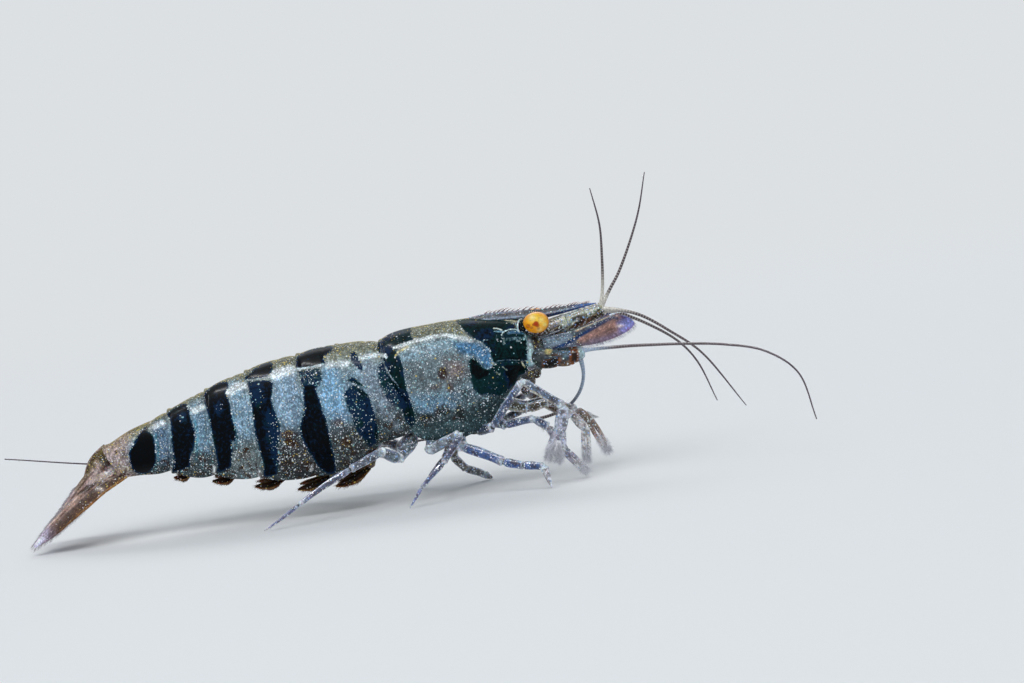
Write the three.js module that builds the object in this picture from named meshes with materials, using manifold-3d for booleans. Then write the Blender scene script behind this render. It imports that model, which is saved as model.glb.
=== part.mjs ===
// A banded dwarf shrimp of the genus Caridina with amber eyes, as a life-size still model.
// Millimetres, +Z up, +X towards the head, +Y the animal's left side. The floor is Z = 0.
// Shapes are laid out in the animal's own frame: X = 0 at the hind edge of the back shield, and Y = 0 the
// plane of symmetry. The last lines centre the finished model over its own footprint.
import * as THREE from "three";
import { mergeVertices } from "three/addons/utils/BufferGeometryUtils.js";
import Module from "manifold-3d";

const wasm = await Module();
wasm.setup();

// ---- driving dimensions ------------------------------------------------------------------------------
const GAP = 0.06; // clearance kept between neighbouring pieces
const SMALLEST_EDGE = 0.015; // finer steps left by a cut are smoothed away
const FEELER_RADIUS = 0.27; // every feeler is about half a millimetre thick
const BLADE_HALF_THICKNESS = 0.25; // fins and scales are half a millimetre thick
const BODY_SIDES = 20; // points round a body section
const LIMB_SIDES = 6; // points round a leg, a feeler or a paddle
const BEND_SHARPNESS = 0.12; // tension of a leg's curve: its limbs stay straight between the joints
const EYE = { x: 7.17, y: 1.1, z: 7.23, rx: 0.58, ry: 0.5, rz: 0.47 };
const CHANNEL_WALL = 0.5; // thickness of a side plate beside the channel under the tail
const CHANNEL_DEPTH = 0.85; // height of that channel above the side plates' lower edges
const ROSTRUM = { thickness: 0.4, teeth: 18, toothHeight: 0.12, undersideTeeth: 4 };

const SHELL = "#8fa3a8";
const BAND = "#0d1c22";
const CLEAR = "#a9b4bd";
const AMBER = "#f0a020";
const TAIL_PINK = "#b79a8c";
const FEELER_BROWN = "#5b4a44";

const v = (x, y, z) => new THREE.Vector3(x, y, z);

// ---- solids ------------------------------------------------------------------------------------------
function solidOf(geometry) {
  const bare = geometry.clone();
  bare.deleteAttribute("normal");
  bare.deleteAttribute("uv");
  const merged = mergeVertices(bare, 1e-4);
  return new wasm.Manifold(
    new wasm.Mesh({
      numProp: 3,
      vertProperties: merged.attributes.position.array,
      triVerts: new Uint32Array(merged.index.array),
    }),
  );
}

function geometryOf(solid) {
  const mesh = solid.getMesh();
  return new THREE.BufferGeometry()
    .setAttribute("position", new THREE.BufferAttribute(mesh.vertProperties, 3))
    .setIndex(new THREE.BufferAttribute(mesh.triVerts, 1));
}

// The largest body of a cut solid, without the slivers that a cut leaves along its edges.
function largestPiece(solid) {
  const pieces = solid.decompose();
  return pieces.reduce((a, b) => (b.volume() > a.volume() ? b : a)).simplify(SMALLEST_EDGE);
}

// A closed tube whose wall points are put in place by point(t, angle), t from 0 to 1 along it, and whose end
// caps meet at middle(t).
function tube(rings, sides, point, middle) {
  const geometry = new THREE.CylinderGeometry(1, 1, 1, sides, rings - 1);
  const position = geometry.attributes.position;
  for (let i = 0; i < position.count; i++) {
    const x = position.getX(i);
    const z = position.getZ(i);
    const t = Math.round((0.5 - position.getY(i)) * (rings - 1)) / (rings - 1);
    const onWall = Math.hypot(x, z) > 0.5;
    const step = (2 * Math.PI) / sides;
    const angle = Math.round(Math.atan2(x, z) / step) * step;
    const place = onWall ? point(t, angle) : middle(t);
    position.setXYZ(i, place.x, place.y, place.z);
  }
  return geometry;
}

// The value at t of a list spread evenly over 0 to 1.
function along(list, t) {
  const at = t * (list.length - 1);
  const low = Math.min(Math.floor(at), list.length - 2);
  return THREE.MathUtils.lerp(list[low], list[low + 1], at - low);
}

// A limb or blade swept along a curve through path, and widened by grow. wide and thick are half sizes, listed
// from its root to its tip. The wide side starts along across and then keeps to the curve without twisting.
// A jointed limb stays straight between the points of its path.
function sweep(limb, grow) {
  const { path, wide, thick = wide, across = v(0, 1, 0), jointed, steps = 3, sides = LIMB_SIDES } = limb;
  const kind = jointed ? "catmullrom" : "centripetal";
  const curve = new THREE.CatmullRomCurve3(path, false, kind, BEND_SHARPNESS);
  const last = steps * (path.length - 1);
  const rings = [];
  for (let i = 0; i <= last; i++) {
    const centre = curve.getPoint(i / last);
    const tangent = curve.getTangent(i / last);
    const sideways = (i ? rings[i - 1].sideways : across).clone();
    sideways.addScaledVector(tangent, -sideways.dot(tangent)).normalize();
    centre.addScaledVector(tangent, i === 0 ? -grow : i === last ? grow : 0);
    rings.push({ centre, sideways, upward: new THREE.Vector3().crossVectors(tangent, sideways) });
  }
  const at = (t) => rings[Math.round(t * last)];
  const point = (t, angle) =>
    at(t)
      .centre.clone()
      .addScaledVector(at(t).sideways, (along(wide, t) + grow) * Math.cos(angle))
      .addScaledVector(at(t).upward, -(along(thick, t) + grow) * Math.sin(angle));
  return tube(last + 1, sides, point, (t) => at(t).centre);
}

// A length of the body, from its front to its rear. Each station holds the top point, the lower edge and the
// half width of one section: [top x, top z, edge x, edge z, half width]. lobe(t, height) moves the section's
// points along X, height going from 0 at the lower edge to 1 at the top, so that a plate's margin can be
// curved. belly is the height at which the section is widest, and corner how square it is below that.
function bodyLength({ stations, corner = 0.6, belly = 0.42, lobe = () => 0 }, grow) {
  const section = (t) => {
    const [topX, topZ, edgeX, edgeZ, half] = stations[0].map((_, k) => along(stations.map((s) => s[k]), t));
    const shift = t === 0 ? grow : t === 1 ? -grow : 0;
    return {
      topX: topX + shift,
      topZ: topZ + grow,
      edgeX: edgeX + shift,
      edgeZ: edgeZ - grow,
      half: half + grow,
    };
  };
  const point = (t, angle) => {
    const s = section(t);
    const up = Math.cos(angle);
    const power = up > 0 ? 0.95 : corner;
    const reach = up > 0 ? 1 - belly : belly;
    const height = belly + Math.sign(up) * reach * Math.abs(up) ** power;
    const side = -Math.sign(Math.sin(angle)) * Math.abs(Math.sin(angle)) ** power;
    return new THREE.Vector3(
      THREE.MathUtils.lerp(s.edgeX, s.topX, height) + lobe(t, height),
      s.half * side,
      THREE.MathUtils.lerp(s.edgeZ, s.topZ, height),
    );
  };
  const middle = (t) => {
    const s = section(t);
    return new THREE.Vector3(
      THREE.MathUtils.lerp(s.edgeX, s.topX, belly) + lobe(t, belly),
      0,
      THREE.MathUtils.lerp(s.edgeZ, s.topZ, belly),
    );
  };
  return tube(stations.length, BODY_SIDES, point, middle);
}

const bump = (height, centre, width) => Math.exp(-(((height - centre) / width) ** 2));

// ---- placing -----------------------------------------------------------------------------------------
const shrimp = new THREE.Group();
const placed = [];
const belowFloor = solidOf(new THREE.BoxGeometry(80, 40, 10).translate(0, 0, -5));

// Adds one named piece. shape(grow) makes its geometry, and grow widens it on every side. Whatever is already
// there is cut out of it with a clearance, and so is cut, if that is given.
function place(name, colour, shape, cut) {
  let solid = solidOf(shape(0)).subtract(belowFloor);
  for (const other of placed) solid = solid.subtract(other);
  if (cut) solid = solid.subtract(cut);
  solid = largestPiece(solid);
  placed.push(solidOf(shape(GAP)));
  const material = new THREE.MeshStandardMaterial({ color: colour, roughness: 0.35, metalness: 0 });
  const mesh = new THREE.Mesh(geometryOf(solid), material);
  mesh.name = name;
  shrimp.add(mesh);
}

const SIDES = [
  ["left", 1],
  ["right", -1],
];

// ---- thorax and back shield --------------------------------------------------------------------------
// The curved margin where the back shield meets the first tail ring: it runs forward below the middle.
const shieldMargin = (height) => 0.42 * bump(height, 0.3, 0.22);
// The notch in its front edge that clears the eyestalk.
const orbit = (height) => 0.3 * bump(height, 0.9, 0.12);

const THORAX = {
  stations: [
    [5.9, 4.9, 5.75, 3.9, 0.75],
    [5.0, 4.4, 4.9, 2.95, 0.95],
    [3.8, 4.2, 3.8, 2.5, 1.1],
    [2.4, 4.2, 2.4, 2.35, 1.15],
    [1.3, 4.2, 1.4, 2.45, 1.1],
    [0.5, 4.2, 0.75, 2.75, 0.95],
  ],
  corner: 0.8,
};
const SHIELD = {
  stations: [
    [6.72, 7.24, 6.5, 5.45, 1.0],
    [6.2, 7.42, 6.0, 4.7, 1.25],
    [5.3, 7.56, 5.1, 3.65, 1.55],
    [4.2, 7.7, 4.2, 2.95, 1.8],
    [3.2, 7.77, 3.3, 2.6, 1.95],
    [2.2, 7.73, 2.4, 2.55, 2.02],
    [1.3, 7.68, 1.6, 2.7, 2.02],
    [0.6, 7.54, 1.1, 2.95, 1.95],
    [0.05, 7.22, 0.95, 3.15, 1.85],
  ],
  corner: 0.75,
  belly: 0.45,
  lobe: (t, height) => t ** 4 * shieldMargin(height) - (1 - t) ** 8 * orbit(height),
};
place("thorax", SHELL, (grow) => bodyLength(THORAX, grow));
place("carapace", SHELL, (grow) => bodyLength(SHIELD, grow));

// ---- head --------------------------------------------------------------------------------------------
const HEAD = {
  stations: [
    [7.6, 6.3, 7.45, 5.35, 0.7],
    [7.2, 6.56, 7.0, 4.95, 0.9],
    [6.8, 6.72, 6.6, 4.55, 0.98],
  ],
  corner: 0.9,
};
place("head", CLEAR, (grow) => bodyLength(HEAD, grow));

// The rostrum is a thin upright blade that grows out of the shield's crest, with forward teeth above and a few
// below. Its upper and lower edges are given from the crest to the tip.
const ROSTRUM_UPPER = [
  v(3.6, 0, 7.76), v(4.9, 0, 7.9), v(6.1, 0, 7.88), v(7.6, 0, 7.76), v(8.8, 0, 7.72), v(9.95, 0, 7.68),
];
const ROSTRUM_LOWER = [
  v(3.6, 0, 7.5), v(5.6, 0, 7.3), v(6.8, 0, 7.22), v(7.8, 0, 7.34), v(8.9, 0, 7.48), v(9.95, 0, 7.62),
];

function rostrum(grow) {
  const upper = new THREE.CatmullRomCurve3(ROSTRUM_UPPER);
  const lower = new THREE.CatmullRomCurve3(ROSTRUM_LOWER);
  const outline = new THREE.Shape();
  outline.moveTo(ROSTRUM_LOWER[0].x - grow, ROSTRUM_LOWER[0].z - grow);
  outline.lineTo(ROSTRUM_UPPER[0].x - grow, ROSTRUM_UPPER[0].z + grow);
  for (let i = 0; i < ROSTRUM.teeth; i++) {
    const root = upper.getPoint(0.12 + (0.8 * i) / ROSTRUM.teeth);
    const tip = upper.getPoint(0.12 + (0.8 * (i + 0.85)) / ROSTRUM.teeth);
    outline.lineTo(root.x, root.z + grow);
    outline.lineTo(tip.x, tip.z + ROSTRUM.toothHeight + grow);
  }
  outline.lineTo(ROSTRUM_UPPER.at(-1).x + grow, ROSTRUM_UPPER.at(-1).z + grow);
  outline.lineTo(ROSTRUM_LOWER.at(-1).x + grow, ROSTRUM_LOWER.at(-1).z - grow);
  for (let i = 0; i < ROSTRUM.undersideTeeth; i++) {
    const root = lower.getPoint(0.92 - 0.07 * i);
    const tip = lower.getPoint(0.935 - 0.07 * i);
    outline.lineTo(tip.x, tip.z - ROSTRUM.toothHeight / 2 - grow);
    outline.lineTo(root.x, root.z - grow);
  }
  for (const t of [0.6, 0.4, 0.2]) {
    const low = lower.getPoint(t);
    outline.lineTo(low.x, low.z - grow);
  }
  const thickness = ROSTRUM.thickness + 2 * grow;
  return new THREE.ExtrudeGeometry(outline, { depth: thickness, bevelEnabled: false })
    .translate(0, 0, -thickness / 2)
    .rotateX(Math.PI / 2);
}
place("rostrum", SHELL, rostrum);

for (const [side, s] of SIDES) {
  const ball = (grow) =>
    new THREE.SphereGeometry(1, 12, 8)
      .rotateX(Math.PI / 2)
      .scale(EYE.rx + grow, EYE.ry + grow, EYE.rz + grow)
      .translate(EYE.x, s * EYE.y, EYE.z);
  place(`eye_${side}`, AMBER, ball);
  const stalk = {
    path: [v(6.5, s * 0.56, 7.0), v(6.8, s * 0.75, 7.05), v(EYE.x - 0.1, s * (EYE.y - 0.12), EYE.z - 0.03)],
    wide: [0.27, 0.32, 0.4],
    steps: 2,
    sides: 8,
  };
  place(`eyestalk_${side}`, BAND, (grow) => sweep(stalk, grow));
}

// ---- feelers -----------------------------------------------------------------------------------------
const ANTENNULE = { wide: [0.36, 0.38, 0.33, 0.34, 0.29, 0.3, 0.25], sides: 8 };
const ANTENNA_BASE = { wide: [0.42, 0.45, 0.38, 0.36, 0.3, 0.26], sides: 8 };
const SCALE = { wide: [0.25, 0.3, 0.44, 0.5, 0.47, 0.25] };

for (const [side, s] of SIDES) {
  const antennule = {
    path: [v(7.35, s * 0.42, 6.64), v(8.7, s * 0.42, 7.0), v(10.2, s * 0.42, 7.38)],
    ...ANTENNULE,
  };
  place(`antennule_${side}`, CLEAR, (grow) => sweep(antennule, grow));
  const base = {
    path: [v(6.7, s * 0.72, 5.78), v(7.8, s * 0.8, 5.63), v(8.9, s * 0.85, 5.68)],
    ...ANTENNA_BASE,
  };
  place(`antenna_base_${side}`, CLEAR, (grow) => sweep(base, grow));
  const scale = {
    path: [v(7.5, s * 1.0, 6.06), v(8.7, s * 1.16, 6.2), v(10.0, s * 1.16, 6.42), v(11.35, s * 1.1, 6.6)],
    thick: [BLADE_HALF_THICKNESS, BLADE_HALF_THICKNESS],
    across: v(0, s * 0.5, 0.85),
    ...SCALE,
  };
  place(`antennal_scale_${side}`, TAIL_PINK, (grow) => sweep(scale, grow));
}

// The four short feelers stand on the antennules, and one long feeler leaves each antenna base. The right long
// feeler swings forward, and the left one trails back along the body, outside the legs, past the tail.
const FEELERS = {
  antennule_feeler_upper_right: [
    v(10.2, -0.45, 7.6), v(10.36, -0.6, 8.45), v(10.5, -0.9, 9.8), v(10.56, -1.5, 11.2), v(10.33, -2.3, 12.9),
  ],
  antennule_feeler_upper_left: [
    v(10.3, 0.46, 7.6), v(10.75, 0.6, 8.2), v(11.25, 0.8, 8.9), v(12.4, 1.3, 11.2), v(13.0, 1.6, 13.1),
  ],
  antennule_feeler_lower_right: [
    v(10.3, -0.45, 7.38), v(11.86, -0.7, 6.87), v(13.1, -0.9, 5.97), v(14.3, -1.1, 4.9), v(15.98, -1.3, 2.25),
  ],
  antennule_feeler_lower_left: [
    v(10.3, 0.45, 7.32), v(12.25, 1.0, 6.25), v(13.5, 1.5, 5.25), v(14.24, 1.9, 4.2), v(14.93, 2.3, 2.25),
  ],
  antenna_feeler_right: [
    v(9.0, -0.87, 5.72), v(11.7, -1.7, 5.62), v(15.2, -3.2, 5.3), v(17.0, -4.1, 4.8), v(18.2, -4.7, 3.75),
    v(18.7, -5.0, 1.65),
  ],
  antenna_feeler_left: [
    v(8.95, 0.92, 5.5), v(9.0, 1.25, 4.4), v(8.6, 1.9, 3.4), v(7.5, 3.1, 2.6), v(4.0, 4.6, 2.2),
    v(0.0, 5.0, 2.0), v(-4.3, 4.7, 2.05), v(-8.7, 4.1, 2.5), v(-13.3, 3.6, 3.09), v(-17.9, 3.3, 4.03),
  ],
};
for (const [name, path] of Object.entries(FEELERS)) {
  const feeler = { path, wide: [FEELER_RADIUS, FEELER_RADIUS] };
  place(name, FEELER_BROWN, (grow) => sweep(feeler, grow));
}

// ---- legs --------------------------------------------------------------------------------------------
// Joint points from hip to toe, with Y as the distance from the middle plane. The toes of the last three pairs
// stand on the floor, and the two pairs in front carry small pincers that they hold above it.
const HIPS = [v(4.75, 0.75, 3.1), v(3.9, 0.8, 2.8), v(2.95, 0.85, 2.7), v(1.95, 0.85, 2.7), v(1.0, 0.8, 2.8)];
const LEG_JOINTS = {
  right: [
    [v(5.2, 1.15, 2.85), v(6.5, 1.45, 3.0), v(7.08, 1.5, 2.55), v(7.72, 1.42, 1.3), v(8.42, 1.35, 0.42)],
    [v(4.6, 1.45, 2.88), v(6.2, 2.2, 4.83), v(7.88, 2.3, 3.48), v(7.52, 2.3, 2.3), v(7.15, 2.25, 1.15)],
    [v(3.15, 1.6, 2.2), v(4.9, 2.4, 1.38), v(5.75, 2.8, 1.15), v(6.62, 3.15, 1.02), v(6.84, 3.3, -0.1)],
    [v(1.68, 1.6, 2.24), v(3.15, 2.1, 2.84), v(2.2, 2.6, 1.7), v(1.1, 3.1, 0.8), v(0.5, 3.4, -0.05)],
    [v(0.2, 1.75, 2.1), v(-0.48, 2.5, 2.6), v(-1.9, 3.1, 2.08), v(-4.35, 3.8, 0.9), v(-6.0, 4.2, 0)],
  ],
  left: [
    [v(5.2, 1.15, 2.9), v(6.9, 1.35, 3.4), v(8.25, 1.4, 2.62), v(8.8, 1.4, 1.98), v(8.65, 1.35, 0.4)],
    [v(4.6, 1.45, 3.0), v(6.3, 2.05, 3.8), v(8.5, 2.15, 2.75), v(9.05, 2.1, 2.15), v(9.7, 2.05, 0.6)],
    [v(2.75, 1.5, 2.1), v(2.6, 2.0, 1.4), v(3.1, 2.45, 0.72), v(3.9, 2.8, 0.28), v(4.25, 2.95, 0)],
    [v(1.7, 1.6, 2.0), v(2.8, 2.1, 2.5), v(2.15, 2.6, 1.3), v(1.35, 3.1, 0.48), v(0.95, 3.4, -0.05)],
    [v(0.3, 1.7, 2.2), v(-0.5, 2.4, 2.55), v(-1.7, 2.9, 1.9), v(-3.6, 3.4, 0.7), v(-4.6, 3.7, 0)],
  ],
};
const LEG_RADII = {
  pincer: [0.36, 0.32, 0.3, 0.28, 0.29, 0.28, 0.32, 0.3, 0.26],
  walking: [0.38, 0.34, 0.33, 0.33, 0.31, 0.28, 0.27, 0.26, 0.26],
};
LEG_JOINTS.right.forEach((_, pair) => {
  for (const [side, s] of SIDES) {
    const path = [HIPS[pair], ...LEG_JOINTS[side][pair]].map((p) => v(p.x, s * p.y, p.z));
    const leg = { path, wide: pair < 2 ? LEG_RADII.pincer : LEG_RADII.walking, jointed: true };
    place(`leg_${pair + 1}_${side}`, CLEAR, (grow) => sweep(leg, grow));
  }
});

// The third maxillipeds are the leg-like mouth limbs that reach forward under the head.
for (const [side, s] of SIDES) {
  const limb = {
    path: [v(5.6, s * 0.45, 3.8), v(6.3, s * 0.55, 3.5), v(7.2, s * 0.55, 3.55), v(8.1, s * 0.5, 3.25)],
    wide: [0.3, 0.28, 0.3, 0.27, 0.26],
    jointed: true,
  };
  place(`maxilliped_${side}`, CLEAR, (grow) => sweep(limb, grow));
}

// ---- tail rings --------------------------------------------------------------------------------------
// The second ring's side plate reaches forward over the first in a rounded lobe.
const lobeMargin = (height) => 0.6 * bump(height, 0.38, 0.2) - 0.2 * bump(height, 0.75, 0.15);

const RINGS = [
  {
    stations: [
      [-0.02, 7.24, 0.86, 3.1, 1.76],
      [-0.9, 7.42, 0.1, 2.95, 1.84],
      [-1.82, 7.41, -0.7, 2.85, 1.86],
    ],
    lobe: (t, height) => THREE.MathUtils.lerp(shieldMargin(height), lobeMargin(height), t),
  },
  {
    stations: [
      [-1.9, 7.42, -0.78, 2.75, 1.95],
      [-2.5, 7.4, -1.6, 2.15, 2.0],
      [-3.1, 7.34, -2.6, 1.8, 2.0],
      [-3.62, 7.22, -3.4, 1.8, 1.93],
    ],
    lobe: (t, height) => (1 - t) * lobeMargin(height),
  },
  {
    stations: [
      [-3.7, 7.2, -3.48, 1.82, 1.88],
      [-4.4, 7.16, -4.2, 1.76, 1.9],
      [-5.2, 7.04, -5.1, 1.82, 1.86],
      [-5.7, 6.92, -5.6, 1.92, 1.8],
      [-6.02, 6.8, -5.92, 2.05, 1.72],
    ],
  },
  {
    stations: [
      [-6.1, 6.76, -6.0, 2.1, 1.68],
      [-6.8, 6.62, -6.6, 2.08, 1.66],
      [-7.45, 6.43, -7.35, 2.2, 1.6],
      [-7.92, 6.22, -7.92, 2.42, 1.5],
    ],
  },
  {
    stations: [
      [-8.0, 6.18, -8.0, 2.45, 1.46],
      [-8.6, 6.0, -8.6, 2.4, 1.42],
      [-9.25, 5.74, -9.3, 2.55, 1.34],
      [-9.7, 5.56, -9.83, 2.8, 1.22],
    ],
  },
  {
    stations: [
      [-9.78, 5.52, -9.91, 2.85, 1.16],
      [-10.7, 5.16, -10.6, 2.75, 1.08],
      [-11.7, 4.84, -11.4, 2.8, 0.95],
      [-12.85, 4.28, -12.1, 2.8, 0.8],
    ],
    corner: 0.85,
  },
];
// The channel under the tail, between the side plates of the first five rings.
const CHANNEL_EDGE = [...RINGS.slice(0, 4).map((ring) => ring.stations[0]), RINGS[4].stations.at(-1)];
const channel = solidOf(
  bodyLength(
    {
      stations: CHANNEL_EDGE.map(([, , x, z, half]) => [x, z + CHANNEL_DEPTH, x, z - 1, half - CHANNEL_WALL]),
      corner: 0.5,
      belly: 0.5,
    },
    0,
  ),
);
RINGS.forEach((ring, i) => {
  place(`tail_ring_${i + 1}`, SHELL, (grow) => bodyLength(ring, grow), i < 5 ? channel : undefined);
});

// ---- swimming legs -----------------------------------------------------------------------------------
const SWIMMERETS = [
  { root: v(-0.7, 0.72, 3.2), bend: v(-1.1, 0.78, 1.75), tip: v(-2.9, 0.8, 1.12) },
  { root: v(-2.5, 0.74, 2.6), bend: v(-2.9, 0.8, 1.62), tip: v(-4.6, 0.82, 1.22) },
  { root: v(-4.6, 0.72, 2.55), bend: v(-5.0, 0.78, 1.78), tip: v(-6.5, 0.76, 1.62) },
  { root: v(-6.8, 0.6, 2.9), bend: v(-7.1, 0.64, 2.25), tip: v(-8.3, 0.62, 2.12) },
  { root: v(-8.8, 0.5, 3.2), bend: v(-9.1, 0.52, 2.62), tip: v(-10.0, 0.5, 2.52) },
];
SWIMMERETS.forEach(({ root, bend, tip }, pair) => {
  for (const [side, s] of SIDES) {
    const paddle = {
      path: [root, bend, tip].map((p) => v(p.x, s * p.y, p.z)),
      wide: [0.28, 0.3, 0.36, 0.4, 0.3].map((half) => half * (1 - 0.06 * pair)),
      thick: [BLADE_HALF_THICKNESS, BLADE_HALF_THICKNESS],
      across: v(0, s, 0),
    };
    place(`swimmeret_${pair + 1}_${side}`, CLEAR, (grow) => sweep(paddle, grow));
  }
});

// ---- tail fan ----------------------------------------------------------------------------------------
const TELSON = {
  path: [v(-12.6, 0, 3.92), v(-13.15, 0, 3.5), v(-13.8, 0, 2.68), v(-14.75, 0, 1.84)],
  wide: [0.66, 0.62, 0.54, 0.46, 0.3],
  thick: [0.34, 0.3, BLADE_HALF_THICKNESS],
  sides: 8,
  steps: 2,
};
place("telson", TAIL_PINK, (grow) => sweep(TELSON, grow));

for (const [side, s] of SIDES) {
  const inner = {
    path: [v(-12.3, s * 0.42, 3.2), v(-13.3, s * 0.56, 2.84), v(-14.7, s * 0.64, 1.86), v(-16.0, s * 0.7, 0.76)],
    wide: [0.28, 0.42, 0.52, 0.52, 0.3],
    thick: [BLADE_HALF_THICKNESS, BLADE_HALF_THICKNESS],
    across: v(0, s * 0.95, -0.3),
  };
  place(`tail_fan_inner_${side}`, TAIL_PINK, (grow) => sweep(inner, grow));
  const outer = {
    path: [v(-12.1, s * 0.72, 3.0), v(-13.3, s * 1.16, 2.56), v(-14.8, s * 1.4, 1.6), v(-16.6, s * 1.5, 0.3)],
    wide: [0.32, 0.46, 0.56, 0.54, 0.46, 0.3],
    thick: [0.3, BLADE_HALF_THICKNESS, BLADE_HALF_THICKNESS],
    across: v(0, s * 0.85, -0.53),
  };
  place(`tail_fan_outer_${side}`, TAIL_PINK, (grow) => sweep(outer, grow));
}

// ---- the finished model ------------------------------------------------------------------------------
const footprint = new THREE.Box3().setFromObject(shrimp);
const centre = footprint.getCenter(new THREE.Vector3());
shrimp.position.set(-centre.x, -centre.y, -footprint.min.z);
const model = new THREE.Group();
model.add(shrimp);

export default model;
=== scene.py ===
"""The looks of a banded dwarf shrimp, a still life-size model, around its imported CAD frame.

Shapes are laid out in millimetres in the animal's own frame, as in the CAD source: X = 0 at the hind edge
of the back shield, +X towards the head, Y = 0 the plane of symmetry, +Y the animal's left side, and Z = 0
the floor. Colours are written as on screen. The marks of a vertex are shares from 0 to 1.
"""
import math

import bmesh
import bpy
import numpy as np
from mathutils import Matrix, Vector


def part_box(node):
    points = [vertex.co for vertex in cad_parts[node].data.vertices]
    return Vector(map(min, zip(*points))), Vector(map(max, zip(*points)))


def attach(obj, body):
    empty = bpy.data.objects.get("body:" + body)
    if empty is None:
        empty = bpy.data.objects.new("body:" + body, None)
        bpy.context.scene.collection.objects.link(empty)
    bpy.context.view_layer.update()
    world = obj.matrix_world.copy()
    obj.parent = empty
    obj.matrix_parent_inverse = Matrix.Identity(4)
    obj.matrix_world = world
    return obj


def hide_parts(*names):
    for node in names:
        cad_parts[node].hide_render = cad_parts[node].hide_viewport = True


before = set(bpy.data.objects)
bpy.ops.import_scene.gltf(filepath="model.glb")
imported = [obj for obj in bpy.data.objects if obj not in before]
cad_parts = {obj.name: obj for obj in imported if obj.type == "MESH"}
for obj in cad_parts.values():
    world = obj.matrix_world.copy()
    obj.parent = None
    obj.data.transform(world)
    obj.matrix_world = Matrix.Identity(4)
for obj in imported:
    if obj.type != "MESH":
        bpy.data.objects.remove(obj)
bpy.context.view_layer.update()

rng = np.random.default_rng(7)
SIDES = (("left", 1), ("right", -1))
BODY = "root"

# ---- the animal's own frame ------------------------------------------------------------------------
EYE = np.array([7.17, 1.1, 7.23])
eye_corners = [corner for side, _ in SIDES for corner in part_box(f"eye_{side}")]
ORIGIN = 1000 * np.mean([list(corner) for corner in eye_corners], axis=0) - [EYE[0], 0, EYE[2]]


def to_frame(points):
    """Millimetres in the animal's own frame to metres in the CAD frame."""
    return (np.asarray(points, float) + ORIGIN) / 1000


# ---- numbers ---------------------------------------------------------------------------------------
def smooth(low, high, value):
    """0 at low, 1 at high, and a smooth step between them. low may be the greater of the two."""
    t = np.clip((np.asarray(value, float) - low) / (high - low), 0, 1)
    return t * t * (3 - 2 * t)


def bump(value, centre, width):
    """1 at the centre, falling off smoothly to both sides."""
    return np.exp(-(((np.asarray(value, float) - centre) / width) ** 2))


def unit(vectors):
    """The same directions with length 1. A vector of no length stays as it is."""
    return vectors / np.maximum(np.linalg.norm(vectors, axis=-1, keepdims=True), 1e-9)


def blend(base, shade, amount):
    """From base towards shade, by an amount for each point."""
    return base + (shade - base) * np.asarray(amount)[..., None]


def turns(count):
    """Angles of count points evenly round a ring."""
    return np.linspace(0, 2 * math.pi, count, endpoint=False)


def mirrored(path, s):
    """A path given for the left side, as it is for side s: 1 is left and -1 is right."""
    return np.array(path, float) * [1, s, 1]


def through(values, t):
    """A smooth run of values at t, from 0 to 1, that passes through each of them."""
    rows = np.array(values, float)
    rows = np.concatenate([[2 * rows[0] - rows[1]], rows, [2 * rows[-1] - rows[-2]]])
    spans = len(rows) - 3
    at = np.clip(np.asarray(t, float), 0, 1) * spans
    i = np.minimum(at.astype(int), spans - 1)
    f = (at - i).reshape(at.shape + (1,) * (rows.ndim - 1))
    a, b, c, d = rows[i], rows[i + 1], rows[i + 2], rows[i + 3]
    return b + 0.5 * f * (c - a + f * (2 * a - 5 * b + 4 * c - d + f * (3 * (b - c) + d - a)))


def evenly(points, count):
    """The same line with count points, evenly spaced along it."""
    points = np.asarray(points, float)
    reach = np.concatenate([[0], np.cumsum(np.linalg.norm(np.diff(points, axis=0), axis=1))])
    at = np.linspace(0, reach[-1], count)
    return np.stack([np.interp(at, reach, points[:, k]) for k in range(3)], axis=1)


def curve(points, count):
    """count points along a centripetal Catmull-Rom curve through these points."""
    p = np.array(points, float)
    p = np.concatenate([[2 * p[0] - p[1]], p, [2 * p[-1] - p[-2]]])
    fine = []
    for a, b, c, d in zip(p, p[1:], p[2:], p[3:]):
        da, db, dc = (max(np.linalg.norm(q - r) ** 0.5, 1e-6) for q, r in ((b, a), (c, b), (d, c)))
        leave = ((b - a) / da - (c - a) / (da + db) + (c - b) / db) * db
        arrive = ((c - b) / db - (d - b) / (db + dc) + (d - c) / dc) * db
        f = np.linspace(0, 1, 24, endpoint=False)[:, None]
        fine.append(
            b * (1 - 3 * f**2 + 2 * f**3)
            + leave * (f - 2 * f**2 + f**3)
            + c * (3 * f**2 - 2 * f**3)
            + arrive * (f**3 - f**2)
        )
    return evenly(np.concatenate([*fine, [p[-2]]]), count)


# ---- paint -----------------------------------------------------------------------------------------
VIEW_DROP = 0.0875  # how much lower the camera sees a point, for each unit that it stands out to the side


def colour(hexadecimal):
    """A colour written as on screen, as linear light."""
    srgb = np.array([int(hexadecimal[i : i + 2], 16) / 255 for i in (0, 2, 4)])
    return np.where(srgb <= 0.04045, srgb / 12.92, ((srgb + 0.055) / 1.055) ** 2.4)


def painted(base, *layers):
    """A base colour under thin layers. Each layer is a colour, and how much of it shows at each point."""
    tint = colour(base) if isinstance(base, str) else base
    for shade, amount in layers:
        tint = blend(tint, colour(shade), amount)
    return tint


def graded(dark=0.0, glitter=0.0, brown=0.0):
    """Marks for each point: how dark, how glittery and how brown it is, from 0 to 1."""
    return np.stack(np.broadcast_arrays(dark, glitter, brown), axis=-1)


def side_view(points):
    """X and Z of the points as the camera sees them from the side."""
    return points[..., 0], points[..., 2] - VIEW_DROP * np.abs(points[..., 1])


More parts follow.
